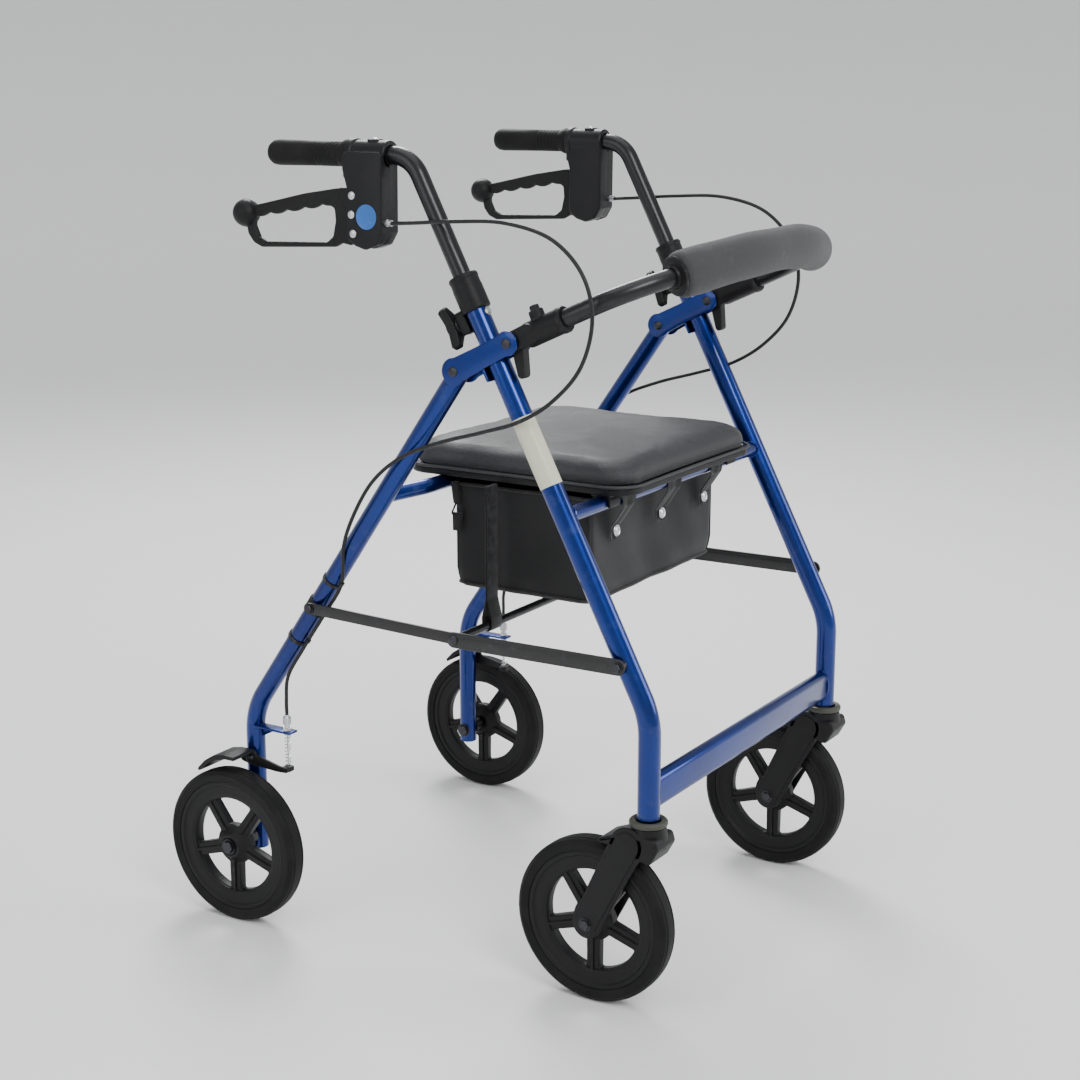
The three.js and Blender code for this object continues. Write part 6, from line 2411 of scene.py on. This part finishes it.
    def _corner_rings(self) -> None:
        """Triangular rings at the rear corners with short loops to the rear rail."""
        rings, loops = Draft(), Draft()
        for sx in (-1, 1):
            x, y, z = sx * (self.high.x + 0.0035), self.high.y - 0.012, self.high.z - 0.024
            corners = [(y - 0.009, z - 0.009), (y + 0.009, z - 0.009), (y, z + 0.010)]
            line = [Vector((x, *p)) for p in fillet(corners, 0.003, 4)]
            rings.hoop(line, 0.0012, AXIS_X)
            above = [(y, z + 0.006), (y + 0.004, self.high.z + 0.008)]
            for path, t in (([(y, z - 0.028), (y, z - 0.006)], 0.006), (above, 0.005)):
                loops.plate(ribbon(path, 0.006, 5, t), 0.002, t * 0.6, side_view(x), steps=2)
        self._gather(piece(rings, "bag_rings", PLASTIC, "front_frame"))
        self._gather(piece(loops, "bag_loops", WEBBING, "front_frame"))


# ---- studio
FLOOR_STEPS = 96
FLOOR_BEND_STEPS = 14


@dataclass
class Studio:
    """Pale floor, soft lights and the camera."""

    eye: tuple[float, float, float] = (-2.087, -1.306, 1.059)
    aim: tuple[float, float, float] = (0.012, -0.006, 0.468)
    lens: float = 66.0
    sky: float = 1.3
    flat: float = 7.0
    sweep: float = 4.0
    wall: float = 1.0
    lights: tuple[tuple[str, tuple[float, float, float], float, float], ...] = field(
        default=(
            ("key", (-1.7, -2.6, 2.9), 72.0, 1.6),
            ("fill", (-3.0, 0.9, 1.7), 24.0, 2.2),
            ("rim", (1.9, 1.6, 2.6), 80.0, 1.4),
            ("front", (1.5, -2.7, 1.3), 34.0, 1.6),
        )
    )

    def build(self) -> None:
        """Sets up the stage."""
        self._floor()
        self._lights()
        self._camera()

    def _floor(self) -> None:
        """A wide pale floor with a very faint mottle, which curves up into a wall all round."""
        draft = Draft()
        bend = [i * pi / 2 / FLOOR_BEND_STEPS for i in range(FLOOR_BEND_STEPS + 1)]
        line = [(self.flat + self.sweep * sin(a), self.sweep * (1 - cos(a))) for a in bend]
        line.append((self.flat + self.sweep, self.sweep + self.wall))
        turns = [i * tau / FLOOR_STEPS for i in range(FLOOR_STEPS)]
        rings = [[draft.bm.verts.new((r * cos(a), r * sin(a), z)) for a in turns] for r, z in line]
        draft.bm.faces.new(rings[0])
        for low, high in zip(rings, rings[1:]):
            for i in range(FLOOR_STEPS):
                j = (i + 1) % FLOOR_STEPS
                draft.bm.faces.new((low[i], low[j], high[j], high[i])).smooth = True
        floor = draft.object("studio_floor")
        graph = Graph("mat_floor")
        tone = graph.blend(graph.noise(3, 3) * 0.5, (0.80, 0.80, 0.79), (0.76, 0.76, 0.755))
        floor.data.materials.append(graph.dress(Base_Color=tone, Roughness=0.62))

    def _lights(self) -> None:
        """Large soft area lights and a pale surround."""
        target = Vector((0, 0, 0.5))
        for name, at, power, size in self.lights:
            lamp = bpy.data.lights.new(name, "AREA")
            lamp.energy = power
            lamp.shape = "DISK"
            lamp.size = size
            obj = bpy.data.objects.new(name, lamp)
            obj.location = at
            obj.rotation_euler = (target - Vector(at)).to_track_quat("-Z", "Y").to_euler()
            bpy.context.scene.collection.objects.link(obj)
        sky = bpy.data.lights.new("sky", "SUN")
        sky.energy = self.sky
        sky.angle = radians(60)
        bpy.context.scene.collection.objects.link(bpy.data.objects.new("sky", sky))
        world = bpy.data.worlds.new("surround")
        world.use_nodes = True
        world.node_tree.nodes["Background"].inputs["Color"].default_value = (0.93, 0.95, 1.0, 1.0)
        world.node_tree.nodes["Background"].inputs["Strength"].default_value = 0.55
        bpy.context.scene.world = world

    def _camera(self) -> None:
        """The camera, at the height of a standing child and to the front right."""
        data = bpy.data.cameras.new("camera")
        data.lens = self.lens
        obj = bpy.data.objects.new("camera", data)
        obj.location = self.eye
        obj.rotation_euler = (Vector(self.aim) - Vector(self.eye)).to_track_quat("-Z", "Y").to_euler()
        bpy.context.scene.collection.objects.link(obj)
        bpy.context.scene.camera = obj


def dress_frame() -> None:
    """Gives every CAD node that still shows the finish of its own slot."""
    slots = {row["node"]: row["material_slot"] for row in frame["record"]["subparts"]}
    finishes = {finish.slot: finish for finish in ALL_FINISHES}
    for name, obj in frame["nodes"].items():
        if not obj.hide_render:
            obj.data.materials.clear()
            obj.data.materials.append(finishes[slots[name]].material())
            LOG.info("kept node %s", name)


def main() -> None:
    """Builds the walker, piece by piece."""
    logging.basicConfig(level=logging.INFO, format="%(name)s: %(message)s")
    layout = Layout(frame["joints"])
    Studio().build()
    front = FrontFrame(layout)
    front.build()
    RearFrame(layout).build()
    Links(layout).build()
    Backrest(layout).build()
    Seat(layout).build()
    Bag(layout).build()
    for side in Side:
        Handle(layout, front, side).build()
        Caster(layout, side).build()
        for place in Place:
            Wheel(layout, side, place).build()
    dress_frame()


if __name__ == "__main__":
    main()
